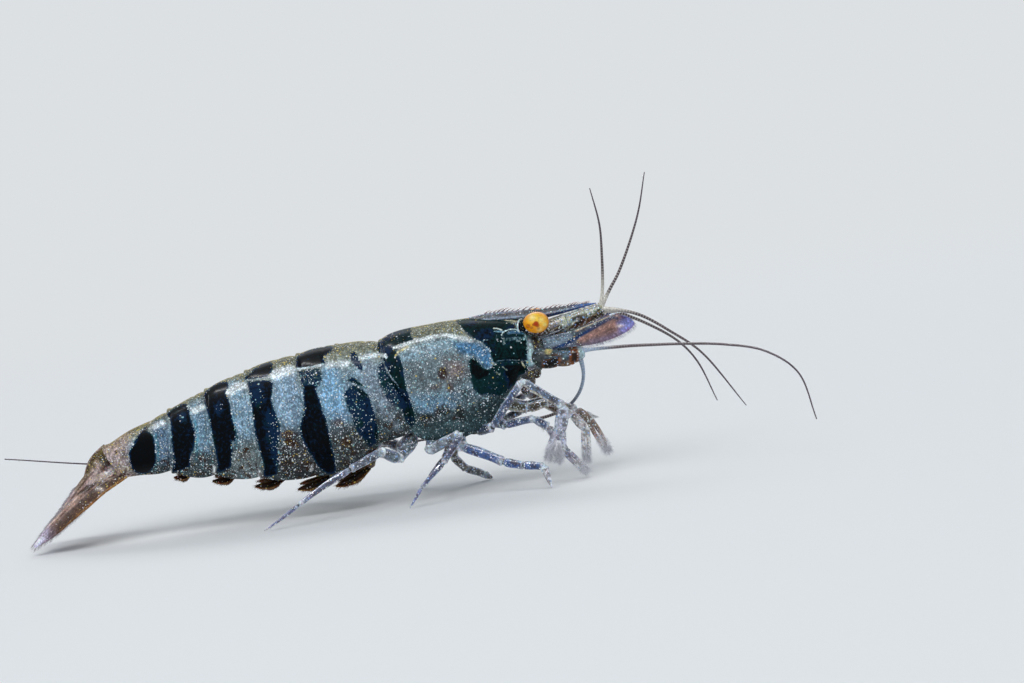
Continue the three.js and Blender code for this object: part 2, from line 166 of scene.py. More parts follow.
def patch(x, z, outline, soft):
    """1 inside a closed smooth outline, 0 outside, with an edge of width soft."""
    corners = np.array(outline, float)
    closed = np.concatenate([corners, corners[:1]])
    line = through(closed, np.linspace(0, 1, 5 * len(corners) + 1))
    a, b = line[:-1], line[1:]
    points = np.stack([x.ravel(), z.ravel()], axis=1)
    nearest = np.full(len(points), np.inf)
    inside = np.zeros(len(points), bool)
    for (ax, az), (bx, bz) in zip(a, b):
        edge = np.array([bx - ax, bz - az])
        away = points - [ax, az]
        t = np.clip(away @ edge / max(edge @ edge, 1e-12), 0, 1)
        nearest = np.minimum(nearest, np.linalg.norm(away - t[:, None] * edge, axis=1))
        crosses = (az > points[:, 1]) != (bz > points[:, 1])
        if bz != az:
            inside ^= crosses & (points[:, 0] < (bx - ax) * (points[:, 1] - az) / (bz - az) + ax)
    signed = np.where(inside, nearest, -nearest).reshape(x.shape)
    return smooth(-soft, soft, signed)


def streak(x, z, line, width):
    """1 on a line through these points, fading to 0 at width from it."""
    line = through(line, np.linspace(0, 1, 6 * len(line)))
    nearest = np.full(x.shape, np.inf)
    for (ax, az), (bx, bz) in zip(line, line[1:]):
        ex, ez = bx - ax, bz - az
        t = np.clip(((x - ax) * ex + (z - az) * ez) / max(ex * ex + ez * ez, 1e-12), 0, 1)
        nearest = np.minimum(nearest, np.hypot(x - ax - t * ex, z - az - t * ez))
    return 1 - smooth(0.3 * width, width, nearest)


def marked(tint, x, z, marks):
    """The tint with soft-edged marks on it. Each has a colour, a strength, an edge width and an outline."""
    for shade, strength, soft, outline in marks:
        tint = painted(tint, (shade, strength * patch(x, z, outline, soft)))
    return tint


# ---- meshes ----------------------------------------------------------------------------------------
PLAIN = (0.2, 0.2, 0.2)
UNMARKED = (0, 0, 0)
UNWRAPPED_HAIR = 0.003  # the size of one hair on the unwrap


class Form:
    """A mesh in the making. Each vertex has a tint, and marks: darkness, glitter and brown spots."""

    def __init__(self):
        """Starts with no vertices and no faces."""
        self.points, self.tints, self.marks, self.uvs = [], [], [], []
        self.quads, self.triangles = [], []
        self.count = 0

    def add(self, points, quads, triangles=(), tint=PLAIN, marks=UNMARKED, uv=(0, 0)):
        """Adds faces, whose corners count from the first of these points."""
        points = np.asarray(points, float).reshape(-1, 3)
        n = len(points)
        self.points.append(points)
        self.tints.append(np.broadcast_to(np.asarray(tint, float), (n, 3)))
        self.marks.append(np.broadcast_to(np.asarray(marks, float), (n, 3)))
        self.uvs.append(np.broadcast_to(np.asarray(uv, float), (n, 2)))
        if len(quads):
            self.quads.append(np.asarray(quads, int) + self.count)
        if len(triangles):
            self.triangles.append(np.asarray(triangles, int) + self.count)
        self.count += n

    def piece(self, name, material, replaces=(), slot=None, coat=False, outward=True):
        """Makes the object, lets it ride on the body, and hides the CAD nodes that it stands for."""
        quads = np.concatenate(self.quads) if self.quads else np.zeros((0, 4), int)
        triangles = np.concatenate(self.triangles) if self.triangles else np.zeros((0, 3), int)
        corners = np.concatenate([quads.ravel(), triangles.ravel()])
        starts = np.concatenate([4 * np.arange(len(quads)), 4 * len(quads) + 3 * np.arange(len(triangles))])
        mesh = bpy.data.meshes.new(name)
        mesh.vertices.add(self.count)
        mesh.vertices.foreach_set("co", to_frame(np.concatenate(self.points)).ravel())
        mesh.loops.add(len(corners))
        mesh.loops.foreach_set("vertex_index", corners)
        mesh.polygons.add(len(starts))
        mesh.polygons.foreach_set("loop_start", starts)
        mesh.update(calc_edges=True)
        mesh.validate()
        for label, values in (("Tint", self.tints), ("Marks", self.marks)):
            rgba = np.ones((self.count, 4), np.float32)
            rgba[:, :3] = np.concatenate(values)
            mesh.color_attributes.new(label, "FLOAT_COLOR", "POINT").data.foreach_set("color", rgba.ravel())
        if coat:
            unwrap = np.concatenate(self.uvs)[corners].astype(np.float32)
            mesh.uv_layers.new(name="OFBake").data.foreach_set("uv", unwrap.ravel())
        mesh.shade_smooth()
        mesh.materials.append(material)
        if outward:
            turn_outward(mesh)
        thing = bpy.data.objects.new(name, mesh)
        bpy.context.scene.collection.objects.link(thing)
        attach(thing, BODY)
        if replaces:
            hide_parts(*replaces)
        return thing


def turn_outward(mesh):
    """Makes every face of closed shells look outwards."""
    work = bmesh.new()
    work.from_mesh(mesh)
    bmesh.ops.recalc_face_normals(work, faces=work.faces)
    work.to_mesh(mesh)
    work.free()


def grid_quads(rows, columns, wrap=False):
    """Quads between the points of a grid, whose last column may join its first."""
    i, j = np.meshgrid(np.arange(rows - 1), np.arange(columns if wrap else columns - 1), indexing="ij")
    k = (j + 1) % columns
    corners = [i * columns + j, i * columns + k, (i + 1) * columns + k, (i + 1) * columns + j]
    return np.stack(corners, axis=-1).reshape(-1, 4)


def grid_normals(points):
    """The direction square to a grid of points, at each of them."""
    along = np.gradient(points, axis=0)
    across = np.gradient(points, axis=1)
    return unit(np.cross(across, along))


def transported(centres, across):
    """The tangents, and two directions square to them that turn as little as they can along the line."""
    tangents = unit(np.gradient(centres, axis=0))
    sideways = np.empty_like(centres)
    last = np.array(across, float)
    for i, tangent in enumerate(tangents):
        last = last - tangent * (last @ tangent)
        last /= np.linalg.norm(last)
        sideways[i] = last
    return tangents, sideways, np.cross(tangents, sideways)


def hoops(line, wide, thick, angles, across=(0, 1, 0.01)):
    """Rings of points round a line, with their half widths across it and half heights."""
    _, sideways, upward = transported(line, across)
    out = sideways[:, None] * (wide[:, None] * np.cos(angles))[..., None]
    return line[:, None] + out + upward[:, None] * (thick[:, None] * np.sin(angles))[..., None]


def add_loft(form, rings, tint=PLAIN, marks=UNMARKED):
    """A closed skin over rings of points, with both ends closed."""
    rows, columns = rings.shape[:2]
    tint, marks = (np.broadcast_to(np.asarray(values, float), rings.shape) for values in (tint, marks))
    here = np.arange(columns)
    after = (here + 1) % columns
    first, last, base = rows * columns, rows * columns + 1, (rows - 1) * columns
    caps = [
        np.stack([np.full(columns, first), after, here], axis=1),
        np.stack([np.full(columns, last), base + here, base + after], axis=1),
    ]

    def with_ends(values):
        """The values of all rings, and the mean ones for the middles of both ends."""
        return np.concatenate([values.reshape(-1, 3), [values[0].mean(axis=0), values[-1].mean(axis=0)]])

    faces = grid_quads(rows, columns, wrap=True)
    form.add(with_ends(rings), faces, np.concatenate(caps), with_ends(tint), with_ends(marks))


def add_tube(form, centres, wide, thick=None, across=(0, 1, 0.01), sides=12, tint=PLAIN, marks=UNMARKED):
    """A closed tube round a line. tint and marks are for each ring, or for all of it."""
    centres = np.asarray(centres, float)
    n = len(centres)
    wide = np.broadcast_to(np.asarray(wide, float), (n,))
    thick = wide if thick is None else np.broadcast_to(np.asarray(thick, float), (n,))
    by_ring = [np.broadcast_to(np.asarray(values, float), (n, 3))[:, None] for values in (tint, marks)]
    add_loft(form, hoops(centres, wide, thick, turns(sides), across), *by_ring)


def add_hairs(form, roots, tips, radius, bend=(0, 0, 0), tint=PLAIN, uv=(0.5, 0.5), steps=4):
    """Tapering hairs from roots to tips. bend moves their middles. uv is a root's place on the unwrap."""
    roots, tips = np.asarray(roots, float), np.asarray(tips, float)
    n = len(roots)
    if n == 0:
        return
    bend = np.broadcast_to(np.asarray(bend, float), (n, 3))
    t = np.linspace(0, 1, steps + 1)
    lines = roots[:, None] + (tips - roots)[:, None] * t[:, None]
    lines = lines + bend[:, None] * (4 * t * (1 - t))[:, None]
    direction = unit(tips - roots)
    helper = np.where(np.abs(direction[:, 2:3]) > 0.9, [[1.0, 0, 0]], [[0, 0, 1.0]])
    side = unit(np.cross(direction, helper))
    up = np.cross(direction, side)
    angles = turns(3)
    thickness = np.broadcast_to(np.asarray(radius, float), (n,))[:, None] * (1 - 0.85 * t[:-1])
    around = side[:, None] * np.cos(angles)[:, None] + up[:, None] * np.sin(angles)[:, None]
    rings = lines[:, :-1, None] + thickness[..., None, None] * around[:, None]
    points = np.concatenate([rings.reshape(n, -1, 3), lines[:, -1:]], axis=1)
    each = 3 * steps + 1  # points of one hair
    i, j = np.meshgrid(np.arange(steps - 1), np.arange(3), indexing="ij")
    k = (j + 1) % 3
    quads = np.stack([3 * i + j, 3 * i + k, 3 * i + 3 + k, 3 * i + 3 + j], axis=-1).reshape(-1, 4)
    top = 3 * (steps - 1)  # the first point of the last ring, under the hair's tip
    tip = 3 * steps
    triangles = np.array([[top, top + 1, tip], [top + 1, top + 2, tip], [top + 2, top, tip]])
    shift = each * np.arange(n)[:, None, None]
    tint = np.repeat(np.broadcast_to(np.asarray(tint, float), (n, 3)), each, axis=0)
    place = np.zeros((n, each, 2)) + np.broadcast_to(np.asarray(uv, float), (n, 2))[:, None]
    place[:, :-1, 0] += UNWRAPPED_HAIR * np.tile(np.arange(3) / 3, steps)
    place[:, :-1, 1] += UNWRAPPED_HAIR * np.repeat(t[:-1], 3)
    form.add(
        points.reshape(-1, 3),
        (quads[None] + shift).reshape(-1, 4),
        (triangles[None] + shift).reshape(-1, 3),
        tint,
        (0, 0, 0),
        place.reshape(-1, 2),
    )


# ---- materials -------------------------------------------------------------------------------------
def put(tree, socket, value):
    """Links another node's output to the socket, or sets it to a plain value."""
    if isinstance(value, bpy.types.NodeSocket):
        tree.links.new(value, socket)
    elif isinstance(value, np.ndarray) and socket.type == "RGBA":
        socket.default_value = (*value, 1)
    else:
        socket.default_value = value


def add_node(tree, kind, values=None, **settings):
    """A new node of this kind, with its settings, and values for its sockets."""
    made = tree.nodes.new(kind)
    for label, value in settings.items():
        setattr(made, label, value)
    for label, value in (values or {}).items():
        put(tree, made.inputs[label], value)
    return made


class Shader:
    """A node material whose patterns are measured in millimetres."""

    def __init__(self, name, **fixed):
        """Starts a material with fixed values, and finds the place, tint and marks of a point."""
        self.material = bpy.data.materials.new(name)
        self.material.use_nodes = True
        self.tree = self.material.node_tree
        self.surface = self.tree.nodes["Principled BSDF"]
        for label, value in fixed.items():
            self.surface.inputs[label.replace("_", " ")].default_value = value
        self.place = self.scaled(self.node("ShaderNodeTexCoord").outputs["Object"], 1000)
        self.tint = self.attribute("Tint")
        marks = self.node("ShaderNodeSeparateColor", {"Color": self.attribute("Marks")})
        self.dark, self.glitter, self.brown = marks.outputs

    def node(self, kind, values=None, **settings):
        """A new node of this material."""
        return add_node(self.tree, kind, values, **settings)

    def give(self, label, value):
        """Sets or links one of the surface's own sockets."""
        put(self.tree, self.surface.inputs[label], value)

    def attribute(self, name):
        """The colour that each vertex holds under this name."""
        return self.node("ShaderNodeAttribute", attribute_name=name).outputs["Color"]

    def scaled(self, vector, scale):
        """The vector or colour times a number."""
        return self.node("ShaderNodeVectorMath", {0: vector, "Scale": scale}, operation="SCALE").outputs[0]

    def moved(self, place, seed):
        """The place moved by the seed in each direction, so that no two patterns are alike."""
        values = {0: place, 1: (seed, seed, seed)}
        return self.node("ShaderNodeVectorMath", values, operation="ADD").outputs[0]

    def math(self, operation, a, b=0.0):
        """The result of a sum, a product and so on."""
        return self.node("ShaderNodeMath", {0: a, 1: b}, operation=operation).outputs[0]

    def ramp(self, value, low, high, start=0.0, end=1.0):
        """From start to end, smoothly, as the value goes from low to high."""
        values = {"Value": value, "From Min": low, "From Max": high, "To Min": start, "To Max": end}
        return self.node("ShaderNodeMapRange", values, interpolation_type="SMOOTHSTEP").outputs[0]

    def mix(self, factor, a, b):
        """The colour a where the factor is 0, and b where it is 1."""
        return self.node("ShaderNodeMix", {0: factor, 6: a, 7: b}, data_type="RGBA").outputs[2]

    def noise(self, scale, detail=2.0, stretch=(1, 1, 1), seed=0.0):
        """A cloudy pattern from 0 to 1, with scale clouds to the millimetre."""
        stretched = self.node("ShaderNodeVectorMath", {0: self.place, 1: stretch}, operation="MULTIPLY")
        place = self.moved(stretched.outputs[0], seed)
        values = {"Vector": place, "Scale": scale, "Detail": detail, "Roughness": 0.55}
        return self.node("ShaderNodeTexNoise", values).outputs["Fac"]

    def specks(self, spacing, radius, amount, seed):
        """Round dots, of which a share of amount is there, and a random number for each dot."""
        values = {"Vector": self.moved(self.place, seed), "Scale": 1 / spacing}
        cells = self.node("ShaderNodeTexVoronoi", values)
        chance = self.node("ShaderNodeSeparateColor", {"Color": cells.outputs["Color"]})
        dot = self.ramp(cells.outputs["Distance"], radius / spacing, 0.55 * radius / spacing)
        there = self.math("LESS_THAN", chance.outputs[0], amount)
        return self.math("MULTIPLY", dot, there), chance.outputs[1]

    def sprinkled(self, base, sizes, cold, golden):
        """The base with dots of each size on it, and how much there is of a dot at each place."""
        dots = 0.0
        for spacing, radius, share, seed in sizes:
            dot, chance = self.specks(spacing, radius, self.math("MULTIPLY", self.glitter, share), seed)
            base = self.mix(dot, base, glitter_colour(self, chance, cold, golden))
            dots = self.math("MAXIMUM", dots, dot)
        return base, dots

    def browned(self, base, scale, least, seed):
        """The base with brown blotches, where the marks ask for them."""
        blotch = self.math("MULTIPLY", self.ramp(self.noise(scale, seed=seed), least, 0.6), self.brown)
        return self.mix(blotch, base, BROWN)

    def finish(self, base, rough, smoothest, grain, height, depth):
        """Gives the surface its colour, a roughness that follows the grain, and relief of a depth in mm."""
        self.give("Base Color", base)
        self.give("Roughness", self.ramp(grain, 0.3, 0.7, rough, smoothest))
        values = {"Height": height, "Distance": depth / 1000, "Strength": 1.0}
        self.give("Normal", self.node("ShaderNodeBump", values).outputs["Normal"])
        return self.material


WHITE = colour("F2F8FC")
GOLD = colour("E3CB6A")
CYAN = colour("A6DCE6")
ICE = colour("9CC0F4")
INK = colour("05080B")
NAVY = colour("142A42")
TEAL = colour("1A3F44")
DEEP_NAVY = colour("0C2846")
DEEP_TEAL = colour("06282A")
BROWN = colour("3C281C")
# Dots in mm: spacing, radius, the share of them that is there at full glitter, and a seed.
SHELL_DOTS = ((0.2, 0.052, 0.6, 0.0), (0.13, 0.036, 0.8, 17.0), (0.08, 0.023, 0.85, 31.0))
LIMB_DOTS = ((0.15, 0.052, 0.95, 0.0), (0.085, 0.028, 0.9, 11.0))


def glitter_colour(shader, chance, cold, golden):
    """White and cold dots, and golden ones, mostly where the tint under them is warm."""
    pale = shader.mix(shader.ramp(chance, 0.62, 0.7), WHITE, cold)
    if not golden:
        return pale
    channels = shader.node("ShaderNodeSeparateColor", {"Color": shader.tint}).outputs
    warm = shader.ramp(shader.math("SUBTRACT", channels[0], channels[2]), -0.04, 0.04, 0.0, 0.6)
    return shader.mix(shader.ramp(shader.math("ADD", chance, warm), 0.93, 0.96), pale, GOLD)


def shell_material(name, grain=1.0, **fixed):
    """Glassy shell: the tint in bright grain, brown spots, dark bands with frayed edges, and glitter."""
    settings = {"Coat_Weight": 0.12, "Coat_Roughness": 0.15, "Coat_IOR": 1.33, "Specular_IOR_Level": 0.02}
    settings.update({"Subsurface_Weight": 0.08, "Subsurface_Scale": 0.0004, **fixed})
    s = Shader(name, **settings)
    fine = s.noise(12.0, 3.0, (1, 1, 0.7))
    soft = s.noise(2.2, 2.0, seed=3.0)
    bright_grain = s.ramp(fine, 0.46, 0.66, 1 - 0.22 * grain, 1 + 0.85 * grain)
    light = s.math("ADD", bright_grain, s.ramp(soft, 0.3, 0.7, -0.2, 0.2))
    light = s.math("MULTIPLY", light, s.ramp(s.noise(5.0, seed=41.0), 0.35, 0.65, 0.82, 1.2))
    base = s.browned(s.scaled(s.tint, light), 3.6, 0.52, 9.0)
    # the dark bands: a frayed teal or navy edge, then a deep green or blue, then ink
    fray = s.math("MULTIPLY", s.math("SUBTRACT", s.noise(8.0, 3.0, seed=5.0), 0.5), 0.9)
    edge = s.math("ADD", s.dark, fray)
    base = s.mix(s.ramp(edge, 0.2, 0.5), base, s.mix(s.ramp(soft, 0.42, 0.58), TEAL, NAVY))
    along = s.node("ShaderNodeSeparateXYZ", {"Vector": s.place}).outputs["X"]
    behind = s.ramp(along, ORIGIN[0] + 3.0, ORIGIN[0] - 1.0, -0.1, 0.1)
    deep = s.mix(s.ramp(s.math("ADD", s.noise(1.3, seed=21.0), behind), 0.44, 0.56), DEEP_TEAL, DEEP_NAVY)
    base = s.mix(s.ramp(edge, 0.4, 0.6), base, deep)
    base = s.mix(s.ramp(edge, 0.62, 0.92), base, INK)
    base, dots = s.sprinkled(base, SHELL_DOTS, CYAN, golden=True)
    height = s.math("ADD", s.math("MULTIPLY", fine, 0.5), dots)
    return s.finish(base, 0.5, 0.3, fine, height, 0.012)


def limb_material(name, **fixed):
    """Clear blue-grey limbs, with white sparkles and milky joints that the tint gives."""
    settings = {"Coat_Weight": 0.5, "Coat_Roughness": 0.1, "Specular_IOR_Level": 0.25}
    settings.update({"Subsurface_Weight": 0.3, "Subsurface_Scale": 0.0005, **fixed})
    s = Shader(name, **settings)
    fine = s.noise(7.0, 3.0)
    base = s.browned(s.scaled(s.tint, s.ramp(fine, 0.35, 0.68, 0.5, 1.35)), 3.0, 0.5, 4.0)
    base = s.mix(s.ramp(s.math("ADD", s.dark, s.math("SUBTRACT", fine, 0.5)), 0.3, 0.7), base, INK)
    base, _ = s.sprinkled(base, LIMB_DOTS, ICE, golden=False)
    return s.finish(base, 0.4, 0.2, fine, fine, 0.01)


def horn_material(name, rough=0.4, **fixed):
    """Thin horny parts: feelers, hairs and teeth, with the tint broken up finely."""
    s = Shader(name, Coat_Weight=0.3, Coat_Roughness=0.15, **fixed)
    fine = s.noise(14.0, 2.0)
    base = s.scaled(s.tint, s.ramp(fine, 0.3, 0.7, 0.75, 1.25))
    return s.finish(base, rough, rough - 0.15, fine, fine, 0.004)


def eye_material(name):
    """Amber eyes with a darker spot and mottling from the tint, and a faint net of facets."""
    settings = {"Coat_Weight": 0.6, "Coat_Roughness": 0.05, "Coat_IOR": 1.33, "Specular_IOR_Level": 0.1}
    s = Shader(name, **settings, Subsurface_Weight=0.15, Subsurface_Scale=0.0003)
    fine = s.noise(9.0, 3.0)
    base = s.scaled(s.tint, s.ramp(fine, 0.3, 0.7, 0.85, 1.12))
    facets = s.node("ShaderNodeTexVoronoi", {"Vector": s.place, "Scale": 26.0})
    return s.finish(base, 0.35, 0.2, fine, s.ramp(facets.outputs["Distance"], 0.0, 0.7, 1.0, 0.0), 0.003)


SHELL = shell_material("shell_looks")
SKIN = shell_material("skin_looks", grain=0.7, Subsurface_Weight=0.3)
FAN = shell_material("fan_looks", grain=0.6, Subsurface_Weight=0.3, Coat_Weight=0.25)
LIMB = limb_material("limb_looks")
STALK = limb_material("stalk_looks", Coat_Weight=0.25, Coat_Roughness=0.25, Specular_IOR_Level=0.1)
FEELER = horn_material("feeler_looks")
HAIR = horn_material("hair_looks", rough=0.5)
CORNEA = eye_material("eye_looks")


# ---- body walls ------------------------------------------------------------------------------------
UPPER_SHARE = 0.62  # the share of half the girth that lies above the widest place


def cross_section(a, belly, inward):
    """Height and half width, as shares, at a, from 0 on the back to 1 or -1 at the lower edges."""
    s = np.abs(a)
    turn = np.clip(s / UPPER_SHARE, 0, 1) * math.pi / 2
    down = np.clip((s - UPPER_SHARE) / (1 - UPPER_SHARE), 0, 1)
    height = np.where(s < UPPER_SHARE, belly + (1 - belly) * np.cos(turn) ** 0.95, belly * (1 - down))
    return height, np.where(s < UPPER_SHARE, np.sin(turn) ** 0.95, 1 - inward * down**2.5) * np.sign(a)


def wall(stations, t, a, belly=0.42, inward=0.25, lobe=None):
    """Points of a body wall, and their heights from lower edge to back, as shares.

    t runs from front to rear, and a runs from one lower edge over the back to the other.
    """
    top_x, top_z, edge_x, edge_z, half = (row[:, None] for row in through(stations, t).T)
    height, side = cross_section(a, belly, inward)
    height = np.broadcast_to(height[None], (len(t), len(a)))
    x = edge_x + (top_x - edge_x) * height
    if lobe:
        x = x + lobe(t[:, None], height)
    return np.stack([x, half * side[None], edge_z + (top_z - edge_z) * height], axis=-1), height


def add_plate(form, outer, thickness, tint, marks, lining):
    """A closed plate: an outer face, an inner face under it, and a rounded rim between them."""
    rows, columns = outer.shape[:2]
    inner = outer - grid_normals(outer) * thickness
    middle = (outer + inner) / 2
    i, j = np.meshgrid(np.arange(rows), np.arange(columns), indexing="ij")
    within = middle[np.clip(i, 1, rows - 2), np.clip(j, 1, columns - 2)]
    rim = middle + unit(middle - within) * thickness / 2
    index = i * columns + j
    loop = np.concatenate([index[0, :-1], index[:-1, -1], index[-1, :0:-1], index[:0:-1, 0]])
    n = rows * columns
    here = np.arange(len(loop))
    after = (here + 1) % len(loop)
    faces = grid_quads(rows, columns)
    outer_edge = np.stack([loop[here], loop[after], 2 * n + after, 2 * n + here], axis=1)
    inner_edge = np.stack([2 * n + here, 2 * n + after, n + loop[after], n + loop[here]], axis=1)
    tint, marks = (np.broadcast_to(values, outer.shape).reshape(-1, 3) for values in (tint, marks))
    form.add(
        np.concatenate([outer.reshape(-1, 3), inner.reshape(-1, 3), rim.reshape(-1, 3)[loop]]),
        np.concatenate([faces, n + faces[:, ::-1], outer_edge, inner_edge]),
        (),
        np.concatenate([tint, np.tile(lining, (n, 1)), tint[loop]]),
        np.concatenate([marks, np.zeros((n, 3)), marks[loop]]),
    )


# ---- markings --------------------------------------------------------------------------------------
# Outlines on the flank in X and Z as a side view shows them, the same on both sides.
DARK_BANDS = {
    "shield_rear": [
        (0.0, 7.2), (0.5, 7.55), (1.0, 7.7), (1.6, 7.75), (1.55, 7.3), (1.75, 7.03), (1.2, 6.95),
        (0.85, 6.75), (0.98, 6.3), (1.03, 6.0), (1.03, 5.5), (1.06, 5.0), (1.15, 4.5), (1.25, 4.0),
        (1.2, 3.5), (1.0, 3.3), (0.8, 3.6), (0.65, 4.3), (0.5, 5.0), (0.4, 5.6), (0.2, 6.2), (0.0, 6.8),
    ],
    "ring_1_front": [
        (0.15, 6.6), (-0.08, 6.2), (-0.15, 5.6), (0.0, 5.0), (0.2, 4.5), (0.5, 4.2), (0.8, 4.0), (1.0, 3.6),
        (1.2, 3.6), (0.9, 4.5), (0.6, 5.3), (0.4, 6.2),
    ],
    "ring_1_spot": [(-1.25, 6.95), (-1.0, 6.95), (-0.8, 6.4), (-0.75, 6.1), (-0.95, 6.15), (-1.25, 6.5)],
    "ring_1_crescent": [(-1.6, 5.72), (-1.3, 5.85), (-1.1, 5.75), (-0.75, 5.3), (-0.9, 5.35), (-1.3, 5.6)],
    "ring_2_lobe": [
        (-1.75, 5.2), (-1.3, 5.5), (-0.85, 5.2), (-0.6, 4.7), (-0.5, 4.0), (-0.5, 3.2), (-0.7, 2.75),
        (-1.0, 2.7), (-1.2, 3.1), (-1.45, 3.5), (-1.55, 4.0), (-1.7, 4.6),
    ],
    "ring_2_cap": [
        (-3.65, 7.1), (-3.5, 7.2), (-3.0, 7.35), (-2.5, 7.4), (-2.05, 7.35), (-2.1, 7.15), (-2.45, 6.9),
        (-2.5, 6.6), (-3.65, 6.6),
    ],
    "ring_2_band_top": [
        (-3.7, 6.5), (-2.8, 6.5), (-2.62, 6.3), (-2.6, 5.9), (-2.8, 5.65), (-3.5, 5.6), (-3.6, 6.0),
    ],
    "ring_2_band": [
        (-3.5, 5.8), (-3.0, 5.75), (-2.95, 5.4), (-2.85, 5.0), (-2.8, 4.5), (-2.7, 4.2), (-2.65, 3.5),
        (-2.6, 2.8), (-2.6, 1.9), (-2.8, 1.7), (-3.1, 1.8), (-3.4, 2.2), (-3.55, 2.6), (-3.8, 3.2),
        (-3.9, 3.8), (-3.75, 4.3), (-3.6, 4.6), (-3.55, 5.1),
    ],
    "ring_3_cap": [
        (-6.05, 6.5), (-5.8, 6.7), (-5.5, 6.9), (-5.0, 7.05), (-4.8, 6.95), (-4.95, 6.45), (-6.0, 6.4),
    ],
    "ring_3_band": [
        (-6.0, 6.32), (-4.95, 6.2), (-4.9, 5.8), (-5.0, 5.3), (-4.8, 4.5), (-4.75, 4.0), (-4.9, 3.5),
        (-5.05, 3.0), (-5.0, 2.6), (-5.2, 2.2), (-5.3, 2.0), (-5.8, 2.0), (-5.75, 2.5), (-5.8, 3.0),
        (-5.9, 4.0), (-5.9, 5.0), (-5.95, 5.8),
    ],
    "ring_4_band": [
        (-8.05, 5.95), (-7.85, 6.2), (-7.5, 6.4), (-7.2, 6.45), (-6.9, 6.4), (-6.9, 6.1), (-7.0, 5.9),
        (-6.9, 5.6), (-6.85, 5.0), (-6.8, 4.5), (-6.7, 4.1), (-6.75, 3.8), (-7.0, 3.7), (-7.05, 3.3),
        (-7.2, 2.8), (-7.3, 2.6), (-7.9, 2.45), (-7.8, 2.8), (-7.8, 3.5), (-7.85, 4.5), (-7.9, 5.2),
        (-8.0, 5.6),
    ],
    "ring_5_band": [
        (-9.8, 5.35), (-9.5, 5.6), (-9.2, 5.7), (-8.9, 5.7), (-8.8, 5.45), (-8.75, 5.2), (-8.7, 4.9),
        (-8.6, 4.5), (-8.65, 4.1), (-8.75, 3.7), (-8.95, 3.4), (-9.05, 3.0), (-9.2, 2.85), (-9.9, 2.75),
        (-9.75, 3.1), (-9.7, 4.0), (-9.65, 5.0),
    ],
    "ring_6_oval": [
        (-11.7, 3.9), (-11.45, 4.2), (-11.2, 4.5), (-10.9, 4.75), (-10.6, 4.6), (-10.5, 4.3), (-10.5, 3.9),
        (-10.55, 3.4), (-10.75, 3.05), (-11.0, 2.9), (-11.3, 2.85), (-11.6, 3.0), (-11.7, 3.4),
    ],
    "ring_6_streak": [
        (-11.45, 4.25), (-11.15, 4.65), (-10.85, 4.92), (-10.72, 4.75), (-10.8, 4.45), (-11.1, 4.3),
    ],
    "shield_front_upper": [
        (3.6, 7.7), (4.1, 7.8), (4.9, 7.6), (5.6, 7.5), (6.1, 7.25), (6.45, 7.1), (6.55, 6.9),
        (6.62, 6.4), (6.6, 6.0), (6.5, 5.48), (5.9, 5.5), (5.3, 5.56), (5.05, 5.66), (4.95, 6.2),
        (4.75, 6.5), (4.6, 6.65), (4.2, 6.9), (4.0, 7.1), (3.85, 7.4),
    ],
    "shield_hook": [
        (3.95, 5.3), (4.0, 5.85), (4.25, 5.9), (4.4, 5.6), (4.65, 5.4), (4.95, 5.25), (4.6, 5.0),
        (4.2, 4.95),
    ],
    "shield_cheek": [
        (5.3, 5.45), (5.9, 5.45), (6.4, 5.38), (6.42, 5.0), (6.1, 4.75), (5.75, 4.5), (5.5, 4.4),
        (5.55, 4.8),
    ],
    "shield_front_lower": [
        (5.0, 5.58), (5.5, 5.6), (6.45, 5.45), (6.5, 5.0), (6.25, 4.8), (5.9, 4.55), (5.5, 4.25),
        (5.1, 4.1), (4.7, 4.2), (4.2, 4.3), (4.0, 4.5), (3.95, 5.0), (3.95, 5.5), (4.0, 5.9),
        (4.25, 5.95), (4.5, 5.6), (4.7, 5.4), (4.85, 5.35),
    ],
}
